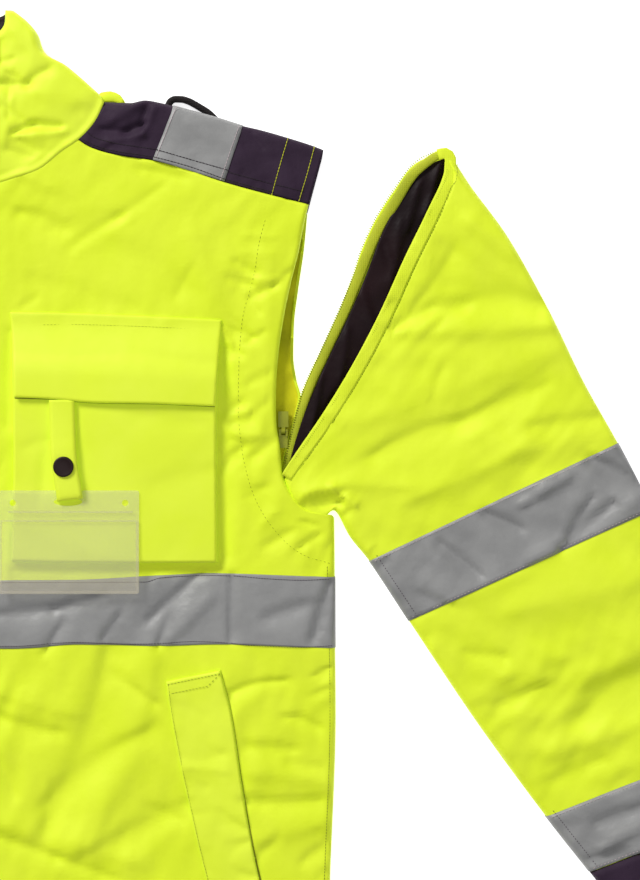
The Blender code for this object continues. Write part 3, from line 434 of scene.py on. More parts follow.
ELASTIC = Finish("black braided elastic", Slot.CORD, (0.012, 0.008, 0.009), (0.006, 0.004, 0.004), 0.8,
                 weave_mm=1.6, weave_bump=0.8)


class Wardrobe:
    """Keeps one built material for each finish."""

    def __init__(self) -> None:
        """Start with nothing built."""
        self.built: dict[str, bpy.types.Material] = {}

    def material(self, finish: Finish) -> bpy.types.Material:
        """The finish's material, made when first asked for."""
        if finish.name not in self.built:
            self.built[finish.name] = finish.build()
        return self.built[finish.name]


WARDROBE = Wardrobe()


# --------------------------------------------------------------------- making pieces
def placed(name: str, data: bpy.types.ID) -> bpy.types.Object:
    """A new object, linked into the scene."""
    made = bpy.data.objects.new(name, data)
    bpy.context.scene.collection.objects.link(made)
    return made


def dress(piece: bpy.types.Object, finish: Finish) -> bpy.types.Object:
    """Give a new piece its finish and let it ride on the jacket."""
    piece.data.materials.clear()
    piece.data.materials.append(WARDROBE.material(finish))
    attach(piece, BODY)
    LOG.info("made %s", piece.name)
    return piece


def cloth(name: str, grid: Grid, finish: Finish, thickness: float, outwards: bool = False,
          wrap: bool = False, inside: Finish | None = None) -> bpy.types.Object:
    """A thin closed cloth from a grid of points.

    Args:
        name: the piece's name.
        grid: rows of points, facing out.
        finish: what it is made of.
        thickness: wall, in millimetres.
        outwards: whether the wall grows out of the grid.
        wrap: whether the columns close into a tube.
        inside: what its inner side shows, where that differs from its face; the back panel's is a darker copy
            that paints shade.

    Returns:
        The dressed piece.
    """
    rows, columns = grid.shape[:2]
    across = np.arange(columns if wrap else columns - 1)
    corner = (np.arange(rows - 1)[:, None] * columns + across).reshape(-1)
    beside = (np.arange(rows - 1)[:, None] * columns + (across + 1) % columns).reshape(-1)
    faces = np.stack((corner, beside, beside + columns, corner + columns), axis=1)
    mesh = bpy.data.meshes.new(name)
    mesh.from_pydata((grid.reshape(-1, 3) * MM).tolist(), [], faces.tolist())
    mesh.shade_smooth()
    piece = placed(name, mesh)
    wall = piece.modifiers.new("Wall", "SOLIDIFY")
    wall.thickness = thickness * MM
    wall.offset = 1.0 if outwards else -1.0
    dress(piece, finish)
    if inside:
        piece.data.materials.append(WARDROBE.material(inside))
        wall.material_offset = 1
    return piece


def declare_sheet(grid: Grid) -> None:
    """Measure a laid sheet's flat width along the cloth's grid; nothing uses the result."""
    across = np.linalg.norm(np.diff(grid, axis=1), axis=2).sum(axis=1).max()
    across = max(across, NARROWEST)


def lay(node: str, grid: Grid, finish: Finish, thickness: float, outwards: bool = False,
        wrap: bool = False, inside: Finish | None = None) -> None:
    """Make a laid cloth that takes its solid's place; what it is given is as in cloth."""
    piece = cloth(f"{node}_cloth", grid, finish, thickness, outwards, wrap, inside)
    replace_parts(piece, node)
    declare_sheet(np.concatenate((grid, grid[:, :1]), axis=1) if wrap else grid)


def studs(name: str, places: np.ndarray, ahead: np.ndarray, size: tuple[float, float, float],
          finish: Finish) -> None:
    """Many small lozenges in one mesh: stitches of a seam, or teeth of a zip.

    Args:
        name: the piece's name.
        places: their centres.
        ahead: the way each one points.
        size: length, width and height.
        finish: what they are made of.
    """
    up = np.array((0.0, 0.0, 1.0))
    ahead = ahead / np.linalg.norm(ahead, axis=1, keepdims=True)
    side = np.cross(up, ahead)
    side /= np.linalg.norm(side, axis=1, keepdims=True)
    length, width, height = (value / 2 for value in size)
    shape = np.stack((places - ahead * length, places + side * width, places + ahead * length,
                      places - side * width, places + up * height, places - up * height), axis=1)
    pattern = np.array([(0, 3, 4), (3, 2, 4), (2, 1, 4), (1, 0, 4),
                        (3, 0, 5), (2, 3, 5), (1, 2, 5), (0, 1, 5)])
    faces = (np.arange(len(places))[:, None, None] * 6 + pattern).reshape(-1, 3)
    mesh = bpy.data.meshes.new(name)
    mesh.from_pydata((shape.reshape(-1, 3) * MM).tolist(), [], faces.tolist())
    dress(placed(name, mesh), finish)


def stitches(name: str, lines: list[Plan], height: Height, finish: Finish, pitch: float = 3.4,
             size: tuple[float, float, float] = (2.3, 0.6, 0.7), side: int = 1) -> None:
    """A run of thread along lines drawn on the cloth.

    Args:
        name: the piece's name.
        lines: plan lines that the needle follows, on the wearer's left.
        height: gives the cloth's height at x and y, on the wearer's left.
        finish: the thread.
        pitch: from stitch to stitch.
        size: length, width and height of one stitch.
        side: 1 to sew there, -1 to sew the mirror image.
    """
    places, ahead = [], []
    for line in lines:
        count = max(3, int(line_length(line) / pitch))
        points = smooth_line([(x * side, y) for x, y in line], spread(count))
        raised = lifted(points, height(points[:, 0] * side, points[:, 1]) + 0.1)
        places.append(raised)
        ahead.append(np.gradient(raised, axis=0))
    points = np.concatenate(places)
    studs(name, points, np.concatenate(ahead), size, finish)


@dataclass
class Panel:
    """A part of one side of the jacket, whose face stands at TOP."""

    side: int
    relief: Relief

    @property
    def label(self) -> str:
        """The wearer's side."""
        return "left" if self.side > 0 else "right"

    def height(self, x: np.ndarray, y: np.ndarray) -> np.ndarray:
        """Height of the face over a place, away from its edges."""
        return TOP + self.relief.height(x, y)

    def turned(self, grid: Grid) -> Grid:
        """A grid of the wearer's left on this panel's own side."""
        return grid if self.side > 0 else mirrored(grid)


# ------------------------------------------------------------------------ the fronts
FINE_ANGLES = (90, 72, 54, 36, 18, 0)


def rounding(roundness: np.ndarray) -> tuple[np.ndarray, np.ndarray]:
    """Offsets in from an edge and down from the face, outermost last.

    Args:
        roundness: 1 where the layer meets the back layer, 0 where its edge is free.

    Returns:
        Distances in from the edge, and drops below the face, one column an angle.
    """
    angles = np.radians(FINE_ANGLES[::-1])
    radius = FREE_RADIUS + (SIDE_RADIUS - FREE_RADIUS) * roundness[:, None]
    inward = radius * (1 - np.sin(angles))
    below = radius * (1 - np.cos(angles))
    return (np.column_stack((inward, np.zeros(len(roundness)))),
            np.column_stack((below, FREE_EDGE + (EDGE_HEIGHT - FREE_EDGE) * roundness)))


# y and x along each line that runs up the front
GUIDES = {
    **{name: [(HEM_Y, x), (250, x)]
       for name, x in (("zip", 8), ("flap", 33), ("pocket_left", 49), ("neck", 70))},
    "yoke_corner": [(HEM_Y, 94.4), (258, 94.4)],
    "welt_left": [(HEM_Y, 215), (-254, 184), (-161, 163), (-117, 155.7), (-90, 152), (133, 150),
                  (243, 146.7)],
    "welt_right": [(HEM_Y, 246), (-254, 220), (-186, 207), (-109, 193), (-35, 191), (133, 191),
                   (228, 196)],
    "outer": [(HEM_Y, 262), (-254, 269), (-138, 272.9), (-88, 272.4), (-4.6, 271.8), (-1.9, 270.2),
              (-0.9, 263), (0.8, 254.8), (5.2, 249.0), (9.6, 244.7), (17.3, 239.6), (24.6, 236.5),
              (48, 234), (60, 232), (74, 231.5), (90, 231.8), (110, 233.4), (134.6, 237),
              (159, 242), (179, 247), (199, 251), (212.8, 254.2)],
}
# y at each guide, cells up to the row, roundness of the outer edge
ROWS = {
    "hem": (-480, -480, -480, -480, -480, -480, -480, -478, 0, 1),
    "welt_low": (-290, -290, -290, -290, -290, -288, -286, -285, 24, 1),
    "welt_top": (-118, -118, -118, -118, -118, -116.6, -108.7, -105, 50, 1),
    "tape_low": (-94, -94, -94, -93, -91, -92, -91, -93.5, 7, 1),
    "tape_top": (-47, -47, -46.7, -46.7, -46.5, -43.5, -42, -44.5, 14, 1),
    "pocket_low": (-35, -35, -34.5, -34.5, -34.5, -34.5, -34.5, -27, 4, 1),
    "pit": (-5, -5, -5, -5, -5, -5, -6, -4.6, 9, 1),
    "pit_turn": (12, 12, 12, 12, 12, 12, 6, -0.9, 6, 0),
    "armhole_low": (28, 28, 28, 28, 28, 27, 22, 5.2, 6, 0),
    "armhole_bend": (46, 46, 46, 46, 46, 44, 40, 24.6, 7, 0),
    "flap_low": (79, 79, 78.7, 78, 77, 75, 73.1, 62, 11, 0),
    "pocket_edge": (128, 128, 128, 127, 126, 124, 122.5, 121, 16, 0),
    "pocket_top": (133, 133, 133, 132, 131, 129, 127.5, 127, 2, 0),
    "chest": (185, 187, 189, 195, 208, 196, 183, 172, 18, 0),
    "top": (222.5, 226.5, 231, 239, 257.4, 243, 228, 212.5, 15, 0),
}
GUIDE_SPANS = (8, 5, 7, 8, 20, 14, 20)      # cells from each guide to the next
YOKE_SEAM = [(94.4, 257.7), (105, 251.6), (121, 247), (147, 243), (163, 239), (196, 228), (229, 219),
             (254.2, 212.8)]
ARMHOLE_STITCH = [(224, 201), (220, 186), (217, 167), (213, 151), (210, 141), (208, 130), (206, 102),
                  (205.6, 72), (208, 44), (214, 18), (221, 2), (240, -22), (252, -30), (268, -35)]
SIDE_STITCH = [(267, -38), (268.4, -90), (268.9, -138), (265, -254), (258, -478)]

LEFT_FOLDS = folds(
    (140, 237, 166, 232, 9, -1.8), (91, 184, 124, 205, 8, -2.8, 1), (123, 204, 152, 225, 8, -1.3),
    (96, 182, 128, 202, 16, 1.2), (56, 207, 84, 197, 13, -2.4, 2), (84, 197, 120, 205, 22, -1.4),
    (121, 182, 168, 155, 34, -2.0, 3), (172, 166, 163, 151, 9, -1.4), (57, 143, 66, 149, 5, -1.2),
    (66, 161, 128, 143, 20, -1.2), (58, 232, 78, 224, 14, 1.4), (176, 190, 190, 150, 24, 1.2),
    (200, 162, 214, 158, 7, -2.6), (205, 173, 217, 166, 6, -2.0), (214, 149, 230, 157, 6, -2.2),
    (229, 156, 242, 167, 6, -1.6), (219, 160, 235, 161, 6, 1.3), (195, 115, 206, 110, 9, -2.6),
    (193, 69, 206, 75, 9, -2.8), (193, 53, 205, 50, 8, -2.2), (214, 90, 226, 96, 6, -1.7),
    (215, 69, 225, 76, 6, -1.7), (193, 130, 204, 115, 7, -2.0, 2), (212, 118, 222, 124, 7, -1.2),
    (195, 33, 208, 45, 9, -3.2), (214, 38, 232, 51, 8, -1.7), (249, -23, 261, -15, 6, -2.6),
    (251, -6, 259, -9, 5, -2.0), (195, -30, 195, 118, 11, -2.4), (52, -40, 188, -40, 9, -2.2),
    (46, 60, 47, 124, 9, -1.8), (228, 172, 222, 60, 20, 1.2), (115, -99, 72, -218, 26, -3.6, 6),
    (146, -108, 104, -226, 32, 2.6, 5), (141, -152, 76, -199, 18, -2.8, -4), (41, -224, 81, -238, 8, -3.2),
    (81, -238, 122, -253, 8, -3.0), (38, -214, 130, -240, 20, 1.8), (41, -141, 80, -151, 14, -2.6, -2),
    (45, -126, 90, -138, 20, 1.4), (121, -112, 147, -131, 10, -2.6), (101, -236, 170, -201, 17, -2.6),
    (144, -203, 165, -211, 8, -2.4), (73, -219, 77, -191, 14, -1.6), (41, -173, 50, -195, 9, -1.8),
    (201, -124, 236, -116, 9, -2.6, 2), (213, -161, 242, -163, 11, -2.4), (239, -141, 261, -148, 7, -3.0, 2),
    (259, -112, 268, -107, 6, -2.0), (257, -126, 268, -121, 6, -1.6), (211, -198, 261, -198, 11, -3.2, -2),
    (218, -180, 256, -184, 16, 1.6), (251, -240, 266, -228, 8, -2.8), (219, -237, 232, -224, 8, -1.8),
    (222, -226, 262, -215, 14, 1.5), (240, -172, 262, -176, 8, -1.8), (144, -73, 178, -42, 9, -4.8),
    (201, -44, 200, -88, 6, -2.8), (112, -86, 123, -71, 7, -2.6), (150, -92, 157, -73, 6, -2.6),
    (226, -72, 250, -64, 12, -2.6), (160, -86, 186, -60, 12, 1.8), (40, -70, 78, -66, 9, -3.2),
    (78, -66, 110, -58, 8, -3.4), (72, -96, 84, -76, 7, -2.4), (257, -86, 268, -50, 9, -5.0),
    (60, -330, 180, -345, 30, -4, 8), (60, -380, 150, -415, 36, 3.4), (225, -320, 258, -380, 24, -3),
    (100, -300, 200, -312, 26, 2.4), (40, -440, 220, -432, 30, 1.6),
)
RIGHT_FOLDS = folds(
    (70, 178, 140, 212, 28, -4.2, 4), (100, 150, 180, 176, 32, 2.8), (90, 96, 175, 122, 30, -2.6, -6),
    (226, 165, 222, 70, 20, 2.4), (80, -16, 182, 40, 38, 3.4, 8), (66, 20, 130, 60, 26, -2.8),
    (84, -130, 152, -190, 26, -4.4, 5), (70, -160, 120, -226, 28, 3), (60, -262, 165, -240, 20, -3),
    (60, -236, 165, -218, 30, 2.4), (212, -300, 255, -330, 24, -3), (50, -385, 196, -400, 28, -4, 6),
    (60, -350, 190, -366, 34, 2.8), (214, -150, 258, -172, 14, -2.8), (216, -132, 256, -150, 16, 2),
)


@dataclass
class Front(Panel):
    """A front of the jacket: the padded cloth between zip, side seam and yoke."""

    detail: float = 1.0

    def grid(self) -> tuple[Grid, dict[str, int]]:
        """The whole face, fine enough for its folds, and its named rows."""
        names, table = list(GUIDES), np.array(list(ROWS.values()), dtype=float)
        rows, marks = fine_rows(ROWS, [max(1, round(cells * self.detail)) for cells in table[1:, -2]])
        heights = between(table[:, :len(names)], rows)
        posts = np.stack([pchip(*zip(*GUIDES[name]), ys) for name, ys in zip(names, heights.T)], axis=1)
        inward, below = rounding(soft_step(np.interp(rows, np.arange(len(table)), table[:, -1])))
        spans = [max(1, round(cells * self.detail)) for cells in GUIDE_SPANS]
        shares, columns = fine_rows(GUIDES, spans)
        posts[:, -1] -= inward[:, 0]
        x, y = (between(item.T, shares).T for item in (posts, heights))
        drops = np.column_stack((np.zeros_like(x), below[:, 1:]))
        edge_x = (posts[:, -1] + inward[:, 0])[:, None] - inward[:, 1:]
        x = np.column_stack((x, edge_x))
        y = np.column_stack((y, np.tile(heights[:, -1:], (1, edge_x.shape[1]))))
        first = columns["yoke_corner"]
        seam_x, seam_y = zip(*YOKE_SEAM)
        shift = pchip(np.array(seam_x), np.array(seam_y), x[-1, first:]) - SEAM - y[-1, first:]
        reach = marks["top"] - marks["chest"]
        for step in range(reach):
            y[-1 - step, first:] += shift * (1 - step / reach) ** 2
        fade = 1 - drops / EDGE_HEIGHT
        return np.stack((x, y, TOP + self.relief.height(x, y) * fade - drops), axis=-1), marks

    def build(self) -> None:
        """Make the panel and its tape."""
        face, marks = self.grid()
        lay(f"front_{self.label}", self.turned(face), YELLOW, PADDED)
        strip = moved_out(face[marks["tape_low"]:marks["tape_top"] + 1], TAPE_RISE)
        lay(f"torso_band_front_{self.label}", self.turned(strip), SILVER, TAPE, outwards=True)


class Stage:
    """Camera, lights and ground."""

    CENTRE = (262.0, 50.0)      # what the camera looks down on
    SEEN = 607.0                # longer side of what it sees
    LENS = 100.0
    SENSOR = 36.0
    PAPER = 12.0                # half the paper's width, in metres

    def camera(self) -> None:
        """A long lens straight over the chest."""
        data = bpy.data.cameras.new("camera")
        data.lens, data.sensor_width = self.LENS, self.SENSOR
        data.clip_end = 20.0
        camera = placed("camera", data)
        away = self.SEEN * self.LENS / self.SENSOR + TOP
        camera.location = Vector((*self.CENTRE, away)) * MM
        bpy.context.scene.camera = camera

    def lights(self) -> None:
        """Large soft lamps, the strongest from the upper left."""
        for name, place, size, power, tint in (
                ("key", (-2.1, 3.0, 2.5), 1.6, 164.0, (1.0, 0.99, 0.97)),
                ("fill", (1.9, -1.1, 1.9), 1.8, 7.5, (0.97, 0.98, 1.0)),
                ("top", (0.25, 0.05, 2.4), 1.8, 5.5, (1.0, 1.0, 1.0))):
            data = bpy.data.lights.new(name, "AREA")
            data.shape, data.size, data.energy, data.color = "DISK", size, power, tint
            lamp = placed(name, data)
            lamp.location = place
            aim = Vector((0.26, 0.05, 0.0)) - Vector(place)
            lamp.rotation_euler = aim.to_track_quat("-Z", "Y").to_euler()

    def ground(self) -> None:
        """White paper under the jacket."""
        paper = bpy.data.materials.new("white paper")
        paper.use_nodes = True
        shader = paper.node_tree.nodes["Principled BSDF"]
        shader.inputs["Base Color"].default_value = (0.9, 0.9, 0.9, 1.0)
        shader.inputs["Roughness"].default_value = 0.9
        shader.inputs["Emission Color"].default_value = (1.0, 1.0, 1.0, 1.0)
        shader.inputs["Emission Strength"].default_value = 0.75
        mesh = bpy.data.meshes.new("paper")
        mesh.from_pydata([(x * self.PAPER, y * self.PAPER, -0.0002)
                          for x, y in ((-1, -1), (1, -1), (1, 1), (-1, 1))], [], [(0, 1, 2, 3)])
        mesh.materials.append(paper)
        placed("paper", mesh)

    def world(self) -> None:
        """A pale even surround."""
        world = bpy.data.worlds.new("studio")
        world.use_nodes = True
        world.node_tree.nodes["Background"].inputs["Color"].default_value = (1.0, 1.0, 1.0, 1.0)
        world.node_tree.nodes["Background"].inputs["Strength"].default_value = 0.25
        bpy.context.scene.world = world
        bpy.context.scene.view_settings.view_transform = "Standard"

    def build(self) -> None:
        """Make all of it."""
        self.camera()
        self.lights()
        self.ground()
        self.world()


# ------------------------------------------------------------------ four-sided patches
def coons(bottom: Plan, top: Plan, left: Plan, right: Plan, columns: np.ndarray,
          rows: np.ndarray) -> np.ndarray:
    """Plan points filled in between four smooth edge lines, as rows of (x, y)."""
    low, high = smooth_line(bottom, columns), smooth_line(top, columns)
    first, last = smooth_line(left, rows), smooth_line(right, rows)
    u, v = columns[None, :, None], rows[:, None, None]
    ruled = low * (1 - v) + high * v + first[:, None] * (1 - u) + last[:, None] * u
    corners = (low[0] * (1 - u) + low[-1] * u) * (1 - v) + (high[0] * (1 - u) + high[-1] * u) * v
    return ruled - corners


# --------------------------------------------------------------------------- yokes
NECK_POINT = (112.3, 284.0)
SHOULDER = [(112.6, 283.8), (131, 283.2), (141, 285.0), (152, 283.2), (160.5, 281), (189, 273.4),
            (208, 267.5), (220, 264.7), (240, 259), (258, 253.2), (264.4, 250.6)]
YOKE_LOW = [(x, y + 0.2) for x, y in YOKE_SEAM]
YOKE_LEFT = [(94.4, 257.9), (107, 272.3), (112.6, 283.8)]
YOKE_RIGHT = [(254.2, 213.0), (260.4, 235), (264.4, 250.6)]
SHOULDER_LEAN = (0.2, 0.98)     # the way in from the shoulder's edge
PATCH_LINES = (((160.5, 281), (146.7, 243.3)), ((208.4, 267.3), (196, 228.4)))
YOKE_FOLDS = folds(
    (142, 279, 139, 268, 7, -3.4), (139, 268, 128, 263.5, 7, -3.6), (128, 263.5, 113, 264.5, 8, -2.8),
    (147, 277, 141, 263, 8, 2.6), (139, 260, 118, 256, 9, 1.8), (136, 281, 120, 271, 12, 1.8),
    (172, 268, 182, 260, 12, 0.9), (214, 262, 222, 252, 6, -1.5), (220, 260, 229, 249, 6, 1.2),
    (206, 254, 216, 232, 16, 1.0), (236, 248, 242, 226, 16, 1.1),
)
BACK_FOLDS = folds(
    (-120, 180, 120, 176, 50, 1.8), (-180, 60, 40, 100, 60, -2.2, 8), (60, 20, 200, 80, 50, 2.0),
    (-200, -150, -40, -230, 60, -2.2), (40, -160, 190, -260, 60, 2.2), (-160, -330, 160, -350, 60, 2.0),
    (-60, -400, 190, -430, 50, -2.0), (231, 150, 245, 156, 9, 3.0), (229, 118, 242, 112, 8, 2.8),
    (230, 92, 243, 98, 9, 3.2), (228, 70, 240, 62, 8, 2.8), (234, 175, 247, 170, 8, 2.4),
    (227, 48, 240, 44, 8, 2.8), (238, 200, 250, 196, 7, 2.0), (226, 30, 236, 26, 8, 2.4),
)


@dataclass
class Yoke(Panel):
    """A dark shoulder yoke and the reflective patch sewn over it."""

    columns: int = 84
    rows: int = 22

    def face(self, low: Plan, high: Plan, left: Plan, right: Plan, columns: int) -> Grid:
        """Face of the yoke between edge lines, rounded over along the shoulder."""
        inward, below = rounding(np.ones(1))
        lean, square = SHOULDER_LEAN
        stop = [(x - lean * inward[0, 0], y - square * inward[0, 0]) for x, y in high]
        flat = coons(low, stop, [*left[:-1], stop[0]], [*right[:-1], stop[-1]], spread(columns),
                     spread(self.rows))
        edge = smooth_line(high, spread(columns)) - np.array(SHOULDER_LEAN) * inward[0, 1:, None, None]
        plan = np.concatenate((flat, edge))
        drops = np.concatenate((np.zeros(len(flat)), below[0, 1:]))[:, None] * np.ones(columns + 1)
        return lifted(plan, TOP + self.relief.over(plan) * (1 - drops / EDGE_HEIGHT) - drops)

    def build(self) -> None:
        """Make the yoke, its patch and their stitching."""
        face = self.face(YOKE_LOW, SHOULDER, YOKE_LEFT, YOKE_RIGHT, self.columns)
        lay(f"yoke_{self.label}", self.turned(face), AUBERGINE, PADDED)
        (top_left, low_left), (top_right, low_right) = PATCH_LINES
        low = [low_left, (163, 238.6), (180, 233.4), low_right]
        high = [top_left, (175, 277.2), (189, 273.4), top_right]
        patch = moved_out(self.face(low, high, [low_left, top_left], [low_right, top_right], 18), 0.25)
        lay(f"shoulder_patch_{self.label}", self.turned(patch), SILVER, TAPE, outwards=True)
        self.sew()

    def sew(self) -> None:
        """Thread along the seam, the armhole and the patch."""
        seam = [(102.5, 261.6)] + [(x + 0.5, y + 7.6) for x, y in YOKE_SEAM[1:-1]] + [(250.5, 221.4)]
        near = [(99.5, 256.6)] + [(x + 0.2, y + 2.2) for x, y in YOKE_SEAM[1:-1]]
        cross = [[(239.7, 257.6), (234, 238), (228.8, 219.5)], [(258, 251.6), (253, 233), (247.7, 215.6)]]
        (top_left, low_left), (top_right, low_right) = PATCH_LINES
        sides = [[(a[0] + 2.4 * s, a[1] - 1.4), (b[0] + 2.4 * s, b[1] + 1.8)] for (a, b), s in
                 (((top_left, low_left), 1), ((top_right, low_right), -1))]
        foot = [[(149.8, 250.0), (173, 243.4), (197.6, 236.4)],
                [(148.4, 244.9), (170, 239.2), (195.6, 230.2)]]
        runs = ((f"yoke_{self.label}_seam_thread", [seam, near], THREAD_DARK, 0.1),
                (f"yoke_{self.label}_cross_thread", cross, THREAD_BRIGHT, 0.15),
                (f"shoulder_patch_{self.label}_thread", sides, THREAD_PALE, 0.7),
                (f"shoulder_patch_{self.label}_foot_thread", foot, THREAD_DARK, 0.7))
        for name, lines, finish, rise in runs:
            stitches(name, lines, lambda x, y, up=rise: self.height(x, y) + up, finish, 2.3,
                     (3.3, 0.66, 0.6), self.side)


# --------------------------------------------------------------------------- the back
# y and x of the back's edge from hem to shoulder
BACK_OUTER = [(HEM_Y, 262), (-254, 269), (-138, 272.9), (-88, 272.4), (-9, 271.2), (-4.5, 267.5),
              (-2.6, 261), (-0.5, 253.8), (9.4, 244.4), (22, 237.6), (30.4, 237.4), (43, 239.6),
              (55.5, 243.0), (70, 247.0), (79, 248.7), (92, 245.6), (108, 243.5), (130, 244),
              (155, 247), (183, 251), (207, 253.2)]
# y in the middle and at the side, cells up to the row, roundness of the outer edge
BACK_ROWS = {
    "hem": (-480, -478, 0, 1), "tape_low": (-94.5, -93.5, 60, 1), "tape_top": (-46.5, -44.5, 12, 1),
    "pit": (-20, -9, 6, 1), "pit_turn": (0, -2.6, 4, 0), "armhole_low": (20, 9.4, 4, 0),
    "armhole_turn": (30, 20, 3, 0), "armhole_bend": (40, 30.4, 3, 0), "armhole": (80, 79, 22, 0),
    "yoke_seam": (205, 206.7, 44, 0),
}


@dataclass
class Back:
    """The back layer: one panel, a yoke over it and the tape round the body."""

    relief: Relief
    cells: int = 84

    def lift(self, x: np.ndarray, y: np.ndarray) -> np.ndarray:
        """How far the underside stands clear of what the jacket lies on."""
        return np.maximum(self.relief.height(x, y), 0.0) * 0.5 + UNDERSIDE

    def grid(self) -> tuple[Grid, dict[str, int]]:
        """The underside, rounded up at both sides, and its named rows."""
        table = np.array(list(BACK_ROWS.values()), dtype=float)
        rows, marks = fine_rows(BACK_ROWS, table[1:, 2].astype(int))
        middle, side = between(table[:, :2], rows).T
        inward, below = rounding(soft_step(np.interp(rows, np.arange(len(table)), table[:, 3])))
        outer = pchip(*zip(*BACK_OUTER), side)
        half = spread(self.cells)[::-1][None, :] * (outer - inward[:, 0])[:, None]
        x = np.column_stack((outer[:, None] - inward[:, :0:-1], half))
        drop = np.column_stack((below[:, :0:-1], np.zeros_like(half)))
        y = middle[:, None] + (side - middle)[:, None] * (x / outer[:, None]) ** 2
        x, y, drop = (np.column_stack((item, sign * item[:, -2::-1]))
                      for item, sign in ((x, -1), (y, 1), (drop, 1)))
        z = drop + self.lift(x, y) * (1 - drop / EDGE_HEIGHT)
        return np.stack((x, y, z), axis=-1), marks

    def build(self) -> None:
        """Make the panel, tape and yoke."""
        under, marks = self.grid()
        # The inner side gets the darker yellow, which paints the shade inside the armhole.
        lay("back_panel", under, YELLOW, PADDED, inside=SHADED_INNER_YELLOW)
        strip = moved_out(under[marks["tape_low"]:marks["tape_top"] + 1], TAPE_RISE)
        lay("torso_band_back", strip, SILVER, TAPE, outwards=True)
        self.yoke()

    def yoke(self) -> None:
        """The back yoke from its seam to the shoulders and the neck."""
        half = SHOULDER[::-1] + [(98, 275.5), (60, 267), (0, 264)]
        top = smooth_line(half + [(-x, y) for x, y in half[-2::-1]], spread(120))
        seam_end = BACK_OUTER[-1][1]
        seam_x = top[:, 0] * seam_end / SHOULDER[-1][0]
        seam = np.column_stack((seam_x, 205.4 + 1.9 * (seam_x / seam_end) ** 2))
        inward, below = rounding(np.ones(len(top)))
        share_up = spread(12)[:, None, None]
        on_shoulder = soft_step((np.abs(top[:, 0]) - 104) / 10)
        lean, square = SHOULDER_LEAN
        away = np.column_stack((lean * np.sign(top[:, 0]) * on_shoulder, square * np.ones(len(top))))
        stop = top - away * inward[:, :1]
        plan = list(seam * (1 - share_up) + stop * share_up)
        drops = [np.zeros(len(top))] * len(plan)
        for number in range(1, inward.shape[1]):
            plan.append(top - away * inward[:, number:number + 1])
            drops.append(below[:, number] * (0.45 + 0.55 * on_shoulder))
        plan, drops = np.array(plan), np.array(drops)
        z = drops + self.lift(plan[..., 0], plan[..., 1]) * (1 - drops / EDGE_HEIGHT)
        lay("back_yoke", lifted(plan, z), AUBERGINE, PADDED)


# -------------------------------------------------------------------------- sleeves
@dataclass(frozen=True)
class SleeveCut:
    """Outline of a sleeve: rows of outer x, y and underarm x, y, and cells up to each."""

    rows: dict[str, tuple[float, float, float, float, int]]
    head_front: Plan
    head_back: Plan
    cuff: tuple[float, float, float, float]


LEFT_CUT = SleeveCut(
    rows={
        "head": (352.5, 247.0, 237.0, 22.0, 0), "crown": (366, 226, 246.0, 3.6, 10),
        "shoulder": (390, 193.5, 262.5, -4.6, 14), "pit": (420, 140.5, 271.4, 1.2, 20),
        "biceps": (444, 91, 283, -17.5, 18), "upper_top": (468, 48, 296, -33.5, 16),
        "upper_low": (492, 2, 323.5, -75, 18), "elbow": (531, -73, 371, -146, 28),
        "lower_top": (571, -149, 418, -210, 26), "lower_low": (594, -193, 448, -248, 14)},
    head_front=[(352.5, 247.0), (354.5, 242.7), (353.6, 229.5), (346, 210.6), (331, 180), (314, 142.5),
                (295, 106.5), (276, 77), (255, 50), (238.2, 22.4)],
    head_back=[(352.5, 247.0), (347, 250.7), (338, 247), (327, 241), (314, 224), (300.6, 203),
               (291, 182), (283.6, 159.5), (271, 130), (261, 108), (251, 86), (247, 72), (243, 55.5),
               (237.8, 32), (238.2, 22.4)],
    cuff=(640, -287, 517, -336))
RIGHT_CUT = SleeveCut(
    rows={
        "head": (265.6, 249.6, 276, -5, 0), "crown": (300, 226, 284, -12, 4),
        "shoulder": (340, 182, 290, -24, 7), "pit": (380, 134, 295, -37, 7),
        "biceps": (414, 93, 300, -51, 6), "upper_top": (447, 53.6, 306, -65.6, 6),
        "upper_low": (474, 16, 327, -100, 5), "elbow": (522, -51, 384, -158, 9),
        "lower_top": (566, -112, 436, -213, 9), "lower_low": (593, -149, 468, -246, 5)},
    head_front=[(265.6, 249.6), *((x + 2, y) for y, x in GUIDES["outer"][:7:-1]), (276, -5)],
    head_back=[(265.6, 249.6), *((x + 6, y) for y, x in BACK_OUTER[:8:-1]), (276, -5)],
    cuff=(652, -233, 545, -321))
